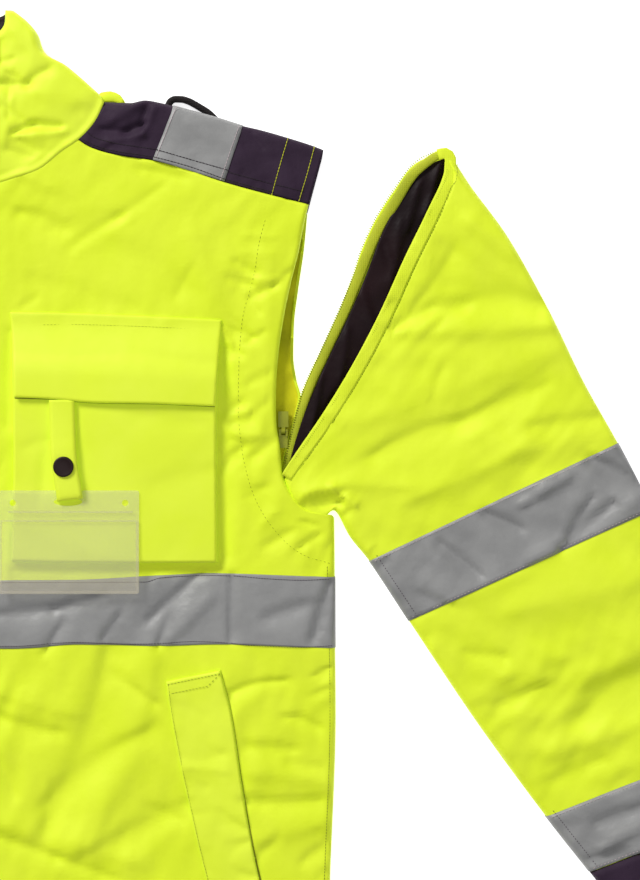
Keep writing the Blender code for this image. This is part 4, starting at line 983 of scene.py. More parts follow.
LEFT_SLEEVE_FOLDS = folds(
    (314, 129, 338, 142, 9, -3.2), (338, 142, 362, 144, 10, -3.0), (362, 145, 412, 144, 16, -3.4, 4),
    (329, 144, 353, 179, 14, -2.2, -2), (352, 182, 412, 146, 20, -2.4, -4), (368, 198, 402, 174, 20, 2.4),
    (352, 158, 390, 150, 14, -1.6), (330, 124, 420, 128, 18, 2.4), (310, 122, 322, 124, 6, 1.8),
    (337, 125, 345, 131, 6, -1.6), (300, 40, 360, 64, 18, -3.0, 3), (358, 62, 416, 88, 15, -2.8),
    (292, 64, 420, 110, 26, 1.6), (374, 72, 416, 96, 10, -1.4), (340, 80, 346, 98, 12, -1.2),
    (330, 12, 404, 44, 26, 2.8), (259, 12, 277, 14, 7, -2.0), (280, 20, 320, 18, 16, 1.6),
    (410, 60, 452, 66, 12, -1.8), (364, -97, 388, -99, 9, -2.4), (386, -132, 417, -119, 12, -3.6),
    (392, -112, 430, -100, 18, 2.0), (400, -66, 480, -48, 30, 2.4), (442, -141, 500, -104, 24, -4.4, 4),
    (446, -116, 510, -78, 24, 2.8), (430, -164, 482, -146, 22, 2.4), (421, -185, 455, -171, 12, -2.6),
    (350, -62, 400, -44, 20, 1.4), (470, -176, 560, -130, 28, 2.2), (500, -60, 524, -72, 18, -2.4),
    (253, 13, 270, 16, 9, 3.8), (270, 16, 285, 6, 8, 3.2), (253, 5, 275, 7, 8, -4.6),
    (452, 36, 484, 20, 13, -5.4), (463, 6, 428, -24, 8, -5.0), (449, 10, 434, -14, 7, -4.2),
    (378, -1, 400, -10, 9, -4.4), (402, 6, 432, 24, 9, 3.4), (346, -22, 372, -42, 9, -3.8),
    (330, -56, 352, -64, 9, -2.2), (408, -32, 436, -18, 10, 3.0), (470, -2, 486, 14, 8, 2.0),
    (452, -214, 486, -201, 7, -4.4), (456, -232, 488, -214, 8, 3.4), (446, -240, 472, -234, 8, -3.2),
    (500, -190, 540, -168, 9, -2.8), (520, -196, 570, -176, 12, 2.4), (548, -158, 578, -150, 8, -2.6),
)
RIGHT_SLEEVE_FOLDS = folds(
    (290, 20, 360, 90, 26, -4.6, 6), (285, 70, 352, 160, 30, 3.2), (312, -20, 400, 42, 28, 2.8),
    (280, 150, 320, 200, 22, -3.0), (396, -92, 472, -60, 24, -4.4), (390, -66, 470, -30, 26, 2.6),
    (436, -150, 520, -118, 30, 3.2), (470, -214, 536, -172, 22, -3.4), (330, 30, 420, 80, 22, -3.0),
)
WRIST_FOLDS = folds(
    (500, -262, 590, -226, 16, -2.4), (510, -290, 610, -250, 18, 1.8), (520, -312, 622, -270, 12, -2.0),
)


@dataclass
class Sleeve(Panel):
    """A sleeve laid flat: top and under panels, two tapes and the cuff."""

    cut: SleeveCut
    columns: int = 74

    @staticmethod
    def plan(ends: np.ndarray, columns: int, head: Plan | None = None,
             rows: np.ndarray | None = None) -> tuple[np.ndarray, np.ndarray]:
        """Plan points from the underarm edge to the outer one, and their drops.

        Args:
            ends: outer and underarm points of each row.
            columns: cells across the flat face.
            head: the head's edge line, from the outer edge to the underarm, where there is one.
            rows: the rows' places in the cut's table, given with the head.

        Returns:
            Points of each row, and how far each lies below the face.
        """
        outer, under = ends[:, :2], ends[:, 2:4]
        across = (outer - under) / np.linalg.norm(outer - under, axis=1, keepdims=True)
        inward, below = rounding(np.ones(len(ends)))
        first, last = under + across * inward[:, :1], outer - across * inward[:, :1]
        share = spread(columns)[None, :, None]
        middle = first[:, None] * (1 - share) + last[:, None] * share
        if head:
            bend = smooth_line(head[::-1], spread(columns + 6)[3:-3]) - middle[0]
            fade = np.interp(rows, (0, 1, 2, 3, 4.5), (1.0, 0.74, 0.45, 0.18, 0.0))
            middle = middle + bend[None] * fade[:, None, None]
        low = under[:, None] + across[:, None] * inward[:, :0:-1, None]
        high = outer[:, None] - across[:, None] * inward[:, 1:, None]
        drops = np.column_stack((below[:, :0:-1], np.zeros((len(ends), columns + 1)), below[:, 1:]))
        return np.concatenate((low, middle, high), axis=1), drops

    def build(self) -> None:
        """Make every piece of the sleeve."""
        table, head = np.array(list(self.cut.rows.values()), dtype=float), (0.0, 0.04, 0.1, 0.18)
        rows, marks = fine_rows(self.cut.rows, table[1:, -1].astype(int), head, 0.3)
        ends, roll = between(table[:, :4], rows), np.interp(rows, head, (1.6, 0.7, 0.2, 0.0))
        plan, drops = self.plan(ends, self.columns, self.cut.head_front, rows)
        fade = 1 - drops / EDGE_HEIGHT
        top = lifted(plan, TOP + (self.relief.over(plan) - roll[:, None]) * fade - drops)
        plan, drops = self.plan(ends, self.columns, self.cut.head_back, rows)
        lift = np.maximum(self.relief.over(plan + (40, 0)), 0.0) * 0.5 + UNDERSIDE
        under = lifted(plan, drops + lift * (1 - drops / EDGE_HEIGHT))
        lay(f"sleeve_{self.label}_front", self.turned(top[::-1]), YELLOW, PADDED)
        lay(f"sleeve_{self.label}_back", self.turned(under[::-1, ::-1]), YELLOW, PADDED)
        ring = np.concatenate((top, under[:, ::-1]), axis=1)
        for place in ("upper", "lower"):
            band = ring[marks[f"{place}_top"]:marks[f"{place}_low"] + 1][::-1]
            band = moved_out(self.turned(band), TAPE_RISE, wrap=True)
            lay(f"sleeve_{self.label}_band_{place}", band, SILVER, TAPE, outwards=True, wrap=True)
        self.wrist()

    def wrist(self) -> None:
        """The dark cuff, a tube gathered by its elastic."""
        start, stop = (np.array(row, dtype=float)
                       for row in (list(self.cut.rows.values())[-1][:4], self.cut.cuff))
        away = (stop - start) / np.linalg.norm((stop - start)[:2])
        share = spread(22)[:, None]
        plan, drops = self.plan((start + away * 0.8) * (1 - share) + stop * share, 36)
        gather = 0.7 * np.sin(np.arange(plan.shape[1]) * 1.35)[None, :] * soft_step((share - 0.5) * 2.2)
        wave = Relief(WRIST_FOLDS, 21).over(plan) + gather
        fade = 1 - drops / EDGE_HEIGHT
        top = lifted(plan, TOP + wave * fade - drops)
        base = lifted(plan, drops + (np.maximum(wave, 0) * 0.4 + UNDERSIDE) * fade)
        ring = self.turned(np.concatenate((top, base[:, ::-1]), axis=1)[::-1])
        lay(f"cuff_{self.label}", ring, AUBERGINE, PADDED, wrap=True)


# --------------------------------------------------------------------------- collar
NECK_SEAM = [(8, 222.8), (33, 226.8), (49, 231.3), (67, 237.6), (83.5, 250.5), (94.4, 258.0),
             (107, 272.3), (112.3, 284.0)]
COLLAR_RIM = [(8, 305), (24, 316), (35, 326), (41.8, 331.6), (46.8, 337), (50, 347)]
COLLAR_BACK_RIM = [(50, 347), (41.4, 342.1), (20, 334), (0, 331)]
COLLAR_SIDE = [NECK_POINT, (110.4, 287.7), (104, 294), (95, 302), (85, 310), (76, 314.6), (72.6, 317),
               (70, 321), (67, 330), (60, 339), (50, 347)]
BACK_NECK = [(112.3, 284.0), (98, 279.5), (60, 271), (0, 268)]
COLLAR_FOLDS = folds(
    (73, 305, 60, 296, 9, -3.2, -1), (60, 296, 41, 296.5, 8, -2.8), (52, 263, 64, 268, 7, -4.0),
    (64, 268, 82, 267, 7, -4.0), (54, 259, 84, 262, 9, 2.2), (55, 257, 76, 249, 9, -2.0, -2),
    (98, 284, 70, 290, 24, 1.6, 4), (62, 318, 52, 330, 16, 1.2), (47, 291, 47, 274, 7, -2.0),
    (41, 294.5, 50, 295.4, 7, -2.6), (42, 311, 49, 313, 6, -1.8), (48, 303, 52, 301, 6, -1.8),
    (49, 284, 45, 258, 12, 1.8), (67, 238.5, 83, 248, 6, -2.8), (62, 240, 76, 250, 8, 1.4),
    (55, 272, 44, 280, 9, -1.8), (47, 250, 62, 246, 9, -1.6), (42, 325, 42, 312, 5, -1.4),
    (20, 300, 12, 246, 16, -2.4), (30, 290, 34, 250, 16, 2.0),
)


@dataclass
class Collar:
    """The puffed stand collar with the dark lining of its inner side."""

    relief: Relief
    ground: Height
    front_cells: int = 60
    back_cells: int = 24
    rows: int = 60

    def build(self) -> None:
        """Make the collar, its lining and thread."""
        share = np.concatenate(([0.0, 0.012, 0.03], 0.03 + 0.94 * spread(self.rows)[1:], [0.985, 1.0]))
        columns = spread(self.front_cells)
        front = coons(NECK_SEAM, COLLAR_RIM, [NECK_SEAM[0], COLLAR_RIM[0]], COLLAR_SIDE, columns, share)
        back = coons(BACK_NECK, COLLAR_BACK_RIM, COLLAR_SIDE, [BACK_NECK[-1], COLLAR_BACK_RIM[-1]],
                     spread(self.back_cells), share)
        inward, below = rounding(np.ones(len(share)))
        side = front[:, -1]
        inset = soft_step(share / 0.14)[:, None, None]
        shift = columns[None, :, None] ** 3 * np.array((-1.0, 0.0)) * inward[0, 0] * inset
        face = front + shift
        edge = side[:, None] - np.array((1.0, 0.0)) * inward[0, 1:][None, :, None] * inset
        plan = np.concatenate((face, edge), axis=1)
        run = plan[2] - plan[0]
        plan[0] -= run / np.maximum(np.linalg.norm(run, axis=1, keepdims=True), 0.1) * 1.2
        drops = np.concatenate((np.zeros(len(columns)), below[0, 1:]))[None, :] * np.ones((len(share), 1))
        away = share * 85
        seam = 0.5 * np.exp(-((away - 3.4) / 1.7) ** 2)[:, None]
        lap = np.exp(-(away / 5.0) ** 2)[:, None]
        rim = 3.4 * np.exp(-((1 - share) * 100 / 2.2) ** 2)[:, None]
        fade = 1 - drops / EDGE_HEIGHT
        bulge = 2.6 * np.sin(np.pi * np.clip(share, 0, 1))[:, None]
        swell = self.relief.over(plan)
        swell += (self.ground(plan[..., 0], plan[..., 1]) + 0.2 - swell) * lap
        top = TOP + (bulge * (1 - lap) + swell - seam - rim) * fade - drops
        over = lifted(plan, top)
        low = edge[:, -2::-1]
        back_plan = back.copy()
        back_plan[..., 0] += (1 - spread(self.back_cells)) ** 3 * -inward[0, 0]
        under_plan = np.concatenate((low[:, :-1], back_plan), axis=1)
        low_drops = below[0, -2:1:-1]
        under = lifted(under_plan, np.zeros(under_plan.shape[:2]))
        under[:, :len(low_drops), 2] = low_drops
        half = np.concatenate((over, under), axis=1)
        ring = np.concatenate((half, mirrored(half)[:, 1:]), axis=1)
        lay("collar", ring, GLOW_BRIGHTENED_YELLOW, 1.6)
        scrap = ribbon([(107, 284), (111.5, 287.2), (117, 287.8), (122, 286.2), (126, 282.6)],
                       [5, 7.6, 7.8, 6.4, 3], 5.2, 1.0)
        cloth("collar_back_edge_cloth", scrap, YELLOW, 1.0)
        self.lining()

    def lining(self) -> None:
        """Dark lining seen inside the rim."""
        rim = [(48.4, 347.3), (41.4, 343.6), (20, 335.4), (0, 332.4)]
        foot = [(66, 292), (56, 284), (30, 278), (0, 276)]
        half = coons(foot, rim, [foot[0], (62, 318), (57, 332), rim[0]], [foot[-1], rim[-1]], spread(30),
                     spread(26))
        relief = Relief(folds((50, 340, 30, 322, 6, 2.6), (38, 340, 20, 326, 5, -2.0)), 33, 0.5, 0.4)
        left = lifted(half, np.maximum(4.6 + 0.5 * relief.over(half), 2.6))[:, ::-1]
        whole = np.concatenate((mirrored(left)[:, :-1], left), axis=1)
        lay("collar_lining", whole, SATIN, LINING_WALL, outwards=True)


# --------------------------------------------------------------------------- ribbons
def ribbon(line: Plan, width: float | list[float], z: float | list[float], crown: float = 0.0,
           pitch: float = 2.6, cells: int = 6) -> Grid:
    """A strip along a line, its section crowned.

    Args:
        line: centre line in the plan.
        width: its width, or widths at even shares of its length.
        z: its height, or heights at even shares.
        crown: how far its middle stands above its edges.
        pitch: from row to row.
        cells: across the strip.

    Returns:
        Its points, rows along the line.
    """
    count = max(4, int(line_length(line) / pitch))
    centre = smooth_line(line, spread(count))
    ahead = np.gradient(centre, axis=0)
    ahead /= np.linalg.norm(ahead, axis=1, keepdims=True)
    right = np.column_stack((ahead[:, 1], -ahead[:, 0]))
    widths, heights = (np.interp(spread(count), spread(len(np.atleast_1d(item)) - 1 or 1),
                                 np.atleast_1d(item) if np.ndim(item) else [item, item])
                       for item in (width, z))
    across = np.linspace(-0.5, 0.5, cells + 1)
    plan = centre[:, None] + right[:, None] * (across[None, :, None] * widths[:, None, None])
    height = heights[:, None] + crown * (1 - (2 * across[None, :]) ** 2)
    return np.concatenate((plan, height[..., None]), axis=-1)


def teeth(name: str, line: Plan, z: float, finish: Finish, pitch: float = 1.7,
          size: tuple[float, float, float] = (2.2, 0.9, 0.9)) -> None:
    """Coil teeth that lie square across a line."""
    points = smooth_line(line, spread(int(line_length(line) / pitch)))
    ahead = np.gradient(points, axis=0)
    square = np.column_stack((-ahead[:, 1], ahead[:, 0], np.zeros(len(points))))
    studs(name, lifted(points, np.full(len(points), z)), square, size, finish)


# ------------------------------------------------------------ head of the loose sleeve
BACK_TAPE = [(348.4, 248.6), (343, 246.6), (335.5, 241.8), (327, 234.6), (314.8, 216), (301.6, 194.5),
             (292.4, 172.5), (279.8, 141), (265.6, 110), (254.6, 86), (248.6, 68.5), (243.6, 50),
             (238.6, 29), (237.4, 20)]
FRONT_TAPE = [(342.5, 247.3), (347.4, 248.4), (351.2, 244.6), (351.0, 236), (349.6, 230), (339.6, 207.6),
              (323.5, 174.5), (305.5, 134.8), (285.4, 96.8), (264.4, 63), (245.4, 36), (237.8, 24.6)]
BACK_COIL = [(346.8, 251.0), (338, 248.3), (326.7, 241.4), (313.6, 224.2), (300.2, 203.2), (290.6, 182.2),
             (283.2, 159.7), (270.6, 130.2), (260.6, 108.2), (250.6, 86.2), (246.4, 71), (242.5, 55.5),
             (237.9, 34)]
LINING_EDGE = [(349.5, 245.6), (335.4, 239.6), (327.8, 231), (321.9, 222.2), (315.4, 213), (304, 191),
               (294.6, 166), (282, 136.5), (268.4, 108), (258.4, 86), (250.4, 66), (244, 46), (239.4, 29)]
LINING_FAR = [(353.6, 243.6), (355, 224), (350, 202), (340, 178), (322, 142), (303, 106), (284, 76),
              (266, 52), (252, 34), (243, 24)]


@dataclass
class ZipHead:
    """Open head of the unzipped sleeve: both zip tapes, coil and lining."""

    sleeve: Sleeve

    def build(self) -> None:
        """Make every piece of it."""
        back = ribbon(BACK_TAPE, [5.6, 7.0, 7.4, 7.4, 7.6, 7.4, 7.2, 7.0, 6.6, 6.0],
                      [9.5, 5.4, 4.4, 4.4, 4.4], 0.8)
        edge = [(x + 0.9, y - 0.3) for x, y in FRONT_TAPE]
        front = ribbon(edge, [7.6, 8.8, 8.8, 8.8, 8.8, 8.8, 8.6, 7.4], [-2.2, 0.0, 0.1, 0.2, 0.2], 0.3,
                       cells=8)
        front[..., 2] += self.sleeve.height(front[..., 0], front[..., 1]) + 0.3
        lay("sleeve_left_zip_back", back, ZIP_YELLOW, 1.2)
        lay("sleeve_left_zip_front", front, FRONT_RIB, 1.2)
        teeth("sleeve_left_zip_coil_back", BACK_COIL, 5.0, COIL_OLIVE)
        ridge = [(x - 1.2, y + 0.4) for x, y in FRONT_TAPE[3:]]
        teeth("sleeve_left_zip_coil_front", ridge, 13.1, COIL_YELLOW, 1.5, (1.5, 0.6, 0.5))
        self.lining()

    def lining(self) -> None:
        """Satin lining inside, in soft folds along the arm."""
        share, across = spread(70), spread(22)
        near, far = smooth_line(LINING_EDGE, share), smooth_line(LINING_FAR, share)
        plan = near[:, None] * (1 - across[None, :, None]) + far[:, None] * across[None, :, None]
        wave = Relief(folds(
            (345, 240, 335, 205, 7, 3.0), (352, 238, 344, 208, 6, -3.0), (331, 226, 322, 196, 7, 2.6),
            (318, 200, 312, 160, 9, 2.6), (306, 184, 318, 152, 7, -2.4), (292, 150, 301, 118, 8, 2.6),
            (281, 124, 276, 92, 8, 2.2), (263, 92, 255, 52, 7, 2.6), (272, 82, 262, 56, 6, -2.4)),
            41, 0.8, 0.5).over(plan)
        lay("sleeve_left_lining", lifted(plan, 5.6 + np.maximum(wave, -1.6))[::-1], SATIN, LINING_WALL)


# --------------------------------------------------------------------- chest pocket
POCKET_FOLDS = folds(
    (120, 60, 180, -20, 40, 1.2), (60, -10, 110, -28, 24, 0.8), (71, 40, 70, 12, 7, -1.4),
    (140, 66, 176, 62, 14, -0.7), (60, 46, 74, 50, 10, -0.8), (150, 20, 186, 30, 20, -0.7),
)
FLAP_TOP = [(48.2, 138.2), (80, 137.8), (120, 136.4), (160, 134.6), (194.2, 132.8)]
FLAP_FOOT = [(52.0, 79.3), (75, 78.3), (107.4, 75.6), (147, 75.0), (170, 74.0), (189.8, 73.2)]
FLAP_LEFT = [FLAP_TOP[0], (50.6, 108), FLAP_FOOT[0]]
FLAP_RIGHT = [FLAP_TOP[-1], (191.8, 102), FLAP_FOOT[-1]]


def cushion(outline: np.ndarray,
            top_turns: bool = True) -> tuple[np.ndarray, np.ndarray, np.ndarray, np.ndarray]:
    """A grid with finer rows and columns at its edges, where a pocket turns down steeply.

    Args:
        outline: rows of plan points.
        top_turns: whether the top edge turns down too.

    Returns:
        The plan's points, row places, column places and each point's share of the full rise.
    """
    turn, rise = (0.0, 0.1, 0.3, 0.65), (0.0, 0.62, 0.9, 1.0)
    axes = []
    for last, low, high in ((outline.shape[0] - 1, True, top_turns), (outline.shape[1] - 1, True, True)):
        places = np.array([*turn, *range(1, last), *(last - value for value in turn[::-1])])
        near = np.interp(places, turn, rise) if low else np.ones(len(places))
        far = np.interp(last - places, turn, rise) if high else np.ones(len(places))
        axes.append((places, near * far))
    (rows, row_rise), (columns, column_rise) = axes
    row = np.minimum(rows.astype(int), outline.shape[0] - 2)
    column = np.minimum(columns.astype(int), outline.shape[1] - 2)
    v, u = (rows - row)[:, None, None], (columns - column)[None, :, None]
    at = np.ix_
    plan = ((outline[at(row, column)] * (1 - u) + outline[at(row, column + 1)] * u) * (1 - v)
            + (outline[at(row + 1, column)] * (1 - u) + outline[at(row + 1, column + 1)] * u) * v)
    return plan, rows, columns, np.outer(row_rise, column_rise)


@dataclass
class ChestPocket:
    """Bellows pocket, its flap, and the strap that carries the card holder."""

    front: Front
    relief: Relief
    rise: float = 5.0

    def height(self, x: np.ndarray, y: np.ndarray) -> np.ndarray:
        """Height of the pocket's face."""
        rise = self.rise * soft_step((133 - y) / 30)
        return self.front.height(x, y) * 0.25 + TOP * 0.75 + rise + self.relief.height(x, y)

    def build(self) -> None:
        """Make pocket, flap, strap and thread."""
        outline = coons([(49.3, -33.6), (90, -34.6), (150, -34.8), (191.2, -34.6)],
                        [(49.3, 126), (191.4, 122)], [(49.3, -33.6), (50.6, 40), (49.3, 126)],
                        [(191.2, -34.6), (190.6, 40), (191.4, 122)], spread(52), spread(56))
        plan, _, _, share = cushion(outline, top_turns=False)
        x, y = plan[..., 0], plan[..., 1]
        base = self.front.height(x, y) + 0.2
        z = base + (self.height(x, y) - base) * share
        lay("chest_pocket", lifted(plan, z), GLOW_BRIGHTENED_YELLOW, POCKET_WALL)
        self.flap()
        self.strap()

    def flap(self) -> None:
        """The flap, sewn along its top and standing off at its foot."""
        outline = coons(FLAP_FOOT, FLAP_TOP, FLAP_LEFT[::-1], FLAP_RIGHT[::-1], spread(52), spread(24))
        plan, rows, _, share = cushion(outline)
        x, y = plan[..., 0], plan[..., 1]
        up = soft_step(rows / 24)[:, None]
        away = 59 * (1 - rows / 24)[:, None] + 0 * x
        ground, seat = self.front.height(x, y), self.height(x, y)
        wave = 0.5 * np.sin(x / 17) * (1 - up) - 0.6 * np.exp(-((away - 7.0) / 1.3) ** 2)
        z = ground + 1.5 + (seat + 4.6 - 2.2 * up - ground - 1.5) * soft_step((away - 6) / 36) + wave
        z = np.maximum(z, seat + 1.1)
        top_side = 1 - soft_step(away / 4)
        low = (z - 1.8) * (1 - top_side) + (ground + 0.3) * top_side
        lay("chest_pocket_flap", lifted(plan, low + (z - low) * share), GLOW_BRIGHTENED_YELLOW, POCKET_WALL)
        # A thin dark strip along the flap's foot paints the shadow under its edge.
        shade = ribbon([(x, y - 0.3) for x, y in FLAP_FOOT], [1.0, 0.3, 0.15, 0.35, 0.12, 0.4], 0.0)
        shade[..., 2] = self.height(shade[..., 0], shade[..., 1]) + 0.3
        cloth("chest_pocket_flap_gap", shade, THREAD_SHADE, 0.2)
        lines = [[(72, 129.4), (90, 129.6), (140, 128.2), (188, 125.8)]]
        stitches("chest_pocket_flap_thread", lines, lambda x, y: self.front.height(x, y) + 1.6,
                 GROOVE_SHADED_THREAD, 2.4, (1.9, 0.5, 0.5))

    def strap(self) -> None:
        """The strap behind the holder, round through its slot and up to the stud."""
        route = [(84.4, 76, 19.0), (85.2, 58, 19.2), (85.8, 42, 19.2), (87.8, 24, 19.2), (89.6, 12.5, 19.3),
                 (90.2, 9.8, 19.8), (90.5, 9.2, 21.0), (90.5, 10.2, 22.2), (90.0, 14.5, 22.8), (88.4, 24, 22.9),
                 (86.9, 32, 22.7), (86.1, 42, 22.4), (85.6, 52, 21.4), (85.2, 66, 20.6), (84.8, 77.5, 20.4)]
        line = smooth_line(route, spread(90))
        half = np.linspace(-8.9, 8.5, 7)
        tilt = np.interp(line[:, 1], (8, 30, 60), (0.13, 0.05, 0.0))
        crown = 0.25 * (1 - (half / 8.9) ** 2)
        over = np.where(np.arange(len(line)) > 0.42 * 90, 1.0, -1.0)
        grid = line[:, None] + np.stack((np.tile(half, (len(line), 1)), np.outer(tilt, half),
                                         np.outer(over, crown)), axis=-1)
        lay("badge_strap", grid, GLOW_BRIGHTENED_YELLOW, 0.8, outwards=True)


def oval(centre: tuple[float, ...], radii: tuple[float, float], segments: int) -> Plan:
    """Points round an ellipse in the plan."""
    return [(centre[0] + radii[0] * math.cos(a), centre[1] + radii[1] * math.sin(a))
            for a in np.linspace(0, math.tau, segments, endpoint=False)]


def polyline(curve: bpy.types.Curve, points: Plan, z: float, closed: bool = False) -> None:
    """Add a line through plan points to a curve."""
    spline = curve.splines.new("POLY")
    spline.points.add(len(points) - 1)
    spline.use_cyclic_u = closed
    for point, (x, y) in zip(spline.points, points):
        point.co = (x * MM, y * MM, z * MM, 1.0)


def turned(name: str, profile: Plan, centre: tuple[float, float, float], finish: Finish,
           segments: int = 48) -> bpy.types.Object:
    """A body turned about Z from (radius, height) points, from its middle to its foot."""
    mesh = bpy.data.meshes.new(name)
    body = bmesh.new()
    rings = [[body.verts.new(Vector((x, y, centre[2] + z)) * MM) for x, y in oval(centre, (r, r), segments)]
             for r, z in profile[::-1]]
    for low, high in zip(rings, rings[1:]):
        for number in range(segments):
            following = (number + 1) % segments
            body.faces.new((low[number], low[following], high[following], high[number]))
    body.faces.new(rings[0][::-1])
    body.faces.new(rings[-1])
    bmesh.ops.recalc_face_normals(body, faces=body.faces)
    body.to_mesh(mesh)
    body.free()
    mesh.shade_smooth()
    mesh.set_sharp_from_angle(angle=math.radians(SHARP_EDGE))
    return dress(placed(name, mesh), finish)


# ---------------------------------------------------------------------- card holder
@dataclass(frozen=True)
class CardHolder:
    """Clear vinyl holder with a slot, two holes and welded seams."""

    left: float = 41.5
    right: float = 137.6
    foot: float = -55.7
    top: float = 15.2
    z: float = 19.9
    thick: float = 0.8

    @staticmethod
    def outline(left: float, right: float, low: float, high: float, radius: float) -> Plan:
        """A rectangle with rounded corners."""
        east, west, north, south = right - radius, left + radius, high - radius, low + radius
        return [(x + radius * math.cos(math.radians(angle)), y + radius * math.sin(math.radians(angle)))
                for x, y, start in ((east, south, -90), (east, north, 0),
                                    (west, north, 90), (west, south, 180))
                for angle in range(start, start + 91, 15)]

    @staticmethod
    def plate(name: str, loops: list[Plan], z: float, thick: float, bevel: float) -> bpy.types.Object:
        """A flat plate from an outline and the openings in it."""
        curve = bpy.data.curves.new(name, "CURVE")
        curve.dimensions, curve.fill_mode = "2D", "BOTH"
        curve.extrude, curve.bevel_depth, curve.bevel_resolution = (thick / 2 - bevel) * MM, bevel * MM, 1
        for loop in loops:
            polyline(curve, loop, 0.0, closed=True)
        shape = placed(name, curve)
        mesh = bpy.data.meshes.new_from_object(shape.evaluated_get(bpy.context.evaluated_depsgraph_get()))
        bpy.data.objects.remove(shape, do_unlink=True)
        body = bmesh.new()
        body.from_mesh(mesh)
        bmesh.ops.remove_doubles(body, verts=body.verts, dist=1e-6)
        bmesh.ops.translate(body, vec=(0, 0, z * MM), verts=body.verts)
        body.to_mesh(mesh)
        body.free()
        mesh.name = name
        return dress(placed(name, mesh), VINYL)

    def build(self) -> None:
        """Make the plate, its slot, holes and welds."""
        left, right, foot, weld = self.left, self.right, self.foot, (self.z + 0.55, 0.3, 0.08)
        openings = [oval((88.9, 7.5), (10.0, 2.9), 28), oval((50.9, 6.8), (2.3, 2.3), 16),
                    oval((128.1, 6.8), (2.3, 2.3), 16)]
        plate = self.plate("badge_holder_vinyl", [self.outline(left, right, foot, self.top, 1.6), *openings],
                           self.z, self.thick, 0.15)
        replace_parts(plate, "badge_holder")
        self.plate("badge_holder_weld", [self.outline(left + 0.3, right - 0.3, foot + 0.3, -5.0, 1.4),
                                         self.outline(left + 2, right - 2, foot + 2, -6.2, 1.2)], *weld)
        self.plate("badge_holder_lip", [self.outline(left + 6, right - 4, -0.2, 1.2, 0.6)], *weld)


class PressStud:
    """Dark domed stud that holds the strap's loop closed."""

    def build(self) -> None:
        """Make the stud."""
        profile = [(0.4, 1.55), (2.2, 1.6), (4.4, 1.8), (5.5, 2.1), (6.2, 2.2), (6.8, 1.9), (7.1, 1.2),
                   (7.05, 0.3), (6.4, 0.0)]
        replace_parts(turned("snap_cap", profile, (86.2, 31.6, 23.7), STUD), "snap")


# -------------------------------------------------------------------- hand pockets
WELT_RELIEF = Relief(folds(
    (166, -164, 194, -166, 10, -1.7), (169, -186, 182, -189, 6, -1.6), (175, -210, 192, -208, 8, -1.9),
    (192, -208, 214, -219, 8, -1.7), (177, -220, 189, -223, 6, -1.6), (180, -237, 213, -226, 9, -1.7),
    (161, -134, 178, -139, 9, -1.1), (186, -244, 216, -250, 9, -1.5), (172, -176, 196, -178, 10, 1.0),
    (184, -270, 216, -276, 12, -1.4),
), 51, 0.3, 0.15)


@dataclass
class HandPocket:
    """A slanted welt sewn down along its left edge, open along its right one."""

    front: Front
    cells: tuple[int, int] = (20, 84)

    def build(self) -> None:
        """Make the welt and its thread."""
        label, side = self.front.label, self.front.side
        left = [(195, -290), (184, -254), (172, -204), (163, -161), (158, -133), (155.7, -116.6)]
        right = [(232, -286), (220.5, -254), (215.6, -232), (207.6, -186), (200.6, -139), (193, -108.7)]
        outline = coons([left[0], right[0]], [left[-1], right[-1]], left, right, *map(spread, self.cells))
        plan, _, columns, share = cushion(outline)
        x, y = plan[..., 0], plan[..., 1]
        across = (columns / self.cells[0])[None, :]
        stand = 1.6 + 1.9 * soft_step((across - 0.35) / 0.65)
        ripple = WELT_RELIEF.height(x, y) + 0.45 * np.sin(y / 4.1) * np.exp(-((across - 0.06) / 0.12) ** 2)
        base = self.front.height(x, y)
        smooth = base * 0.7 + TOP * 0.3
        z = np.maximum(base + 0.2 + (smooth + stand + ripple - base - 0.2) * share, base + 0.2 + 0.9 * share)
        lay(f"hand_pocket_{label}", self.front.turned(lifted(plan, z)), GLOW_BRIGHTENED_YELLOW, POCKET_WALL)
        # gap: a thin dark strip along the open edge that paints the shadow in the welt's mouth
        gap = ribbon([((x + 0.7) * side, y) for x, y in right], [1.5, 1.0, 0.4, 0.2, 0.12], 0.0)
        gap[..., 2] = self.front.height(gap[..., 0] * side, gap[..., 1]) + 0.45
        cloth(f"hand_pocket_{label}_mouth", gap, THREAD_SHADE, 0.2)
        lines = [[(x + 1.2, y) for x, y in left[:-1]] + [(157.6, -119)], [(157.6, -118.6), (192.4, -111.0)],
                 [(160.6, -124.6), (184, -119.6)], [(186, -118.0), (192.6, -111.6)]]
        stitches(f"hand_pocket_{label}_thread", lines, lambda x, y: self.front.height(x, y) * 0.7 + TOP * 0.3
                 + 1.9 + 1.9 * soft_step((x - 169) / 24) * (y > -130), THREAD_OLIVE, 2.3, (2.1, 0.5, 0.6), side)


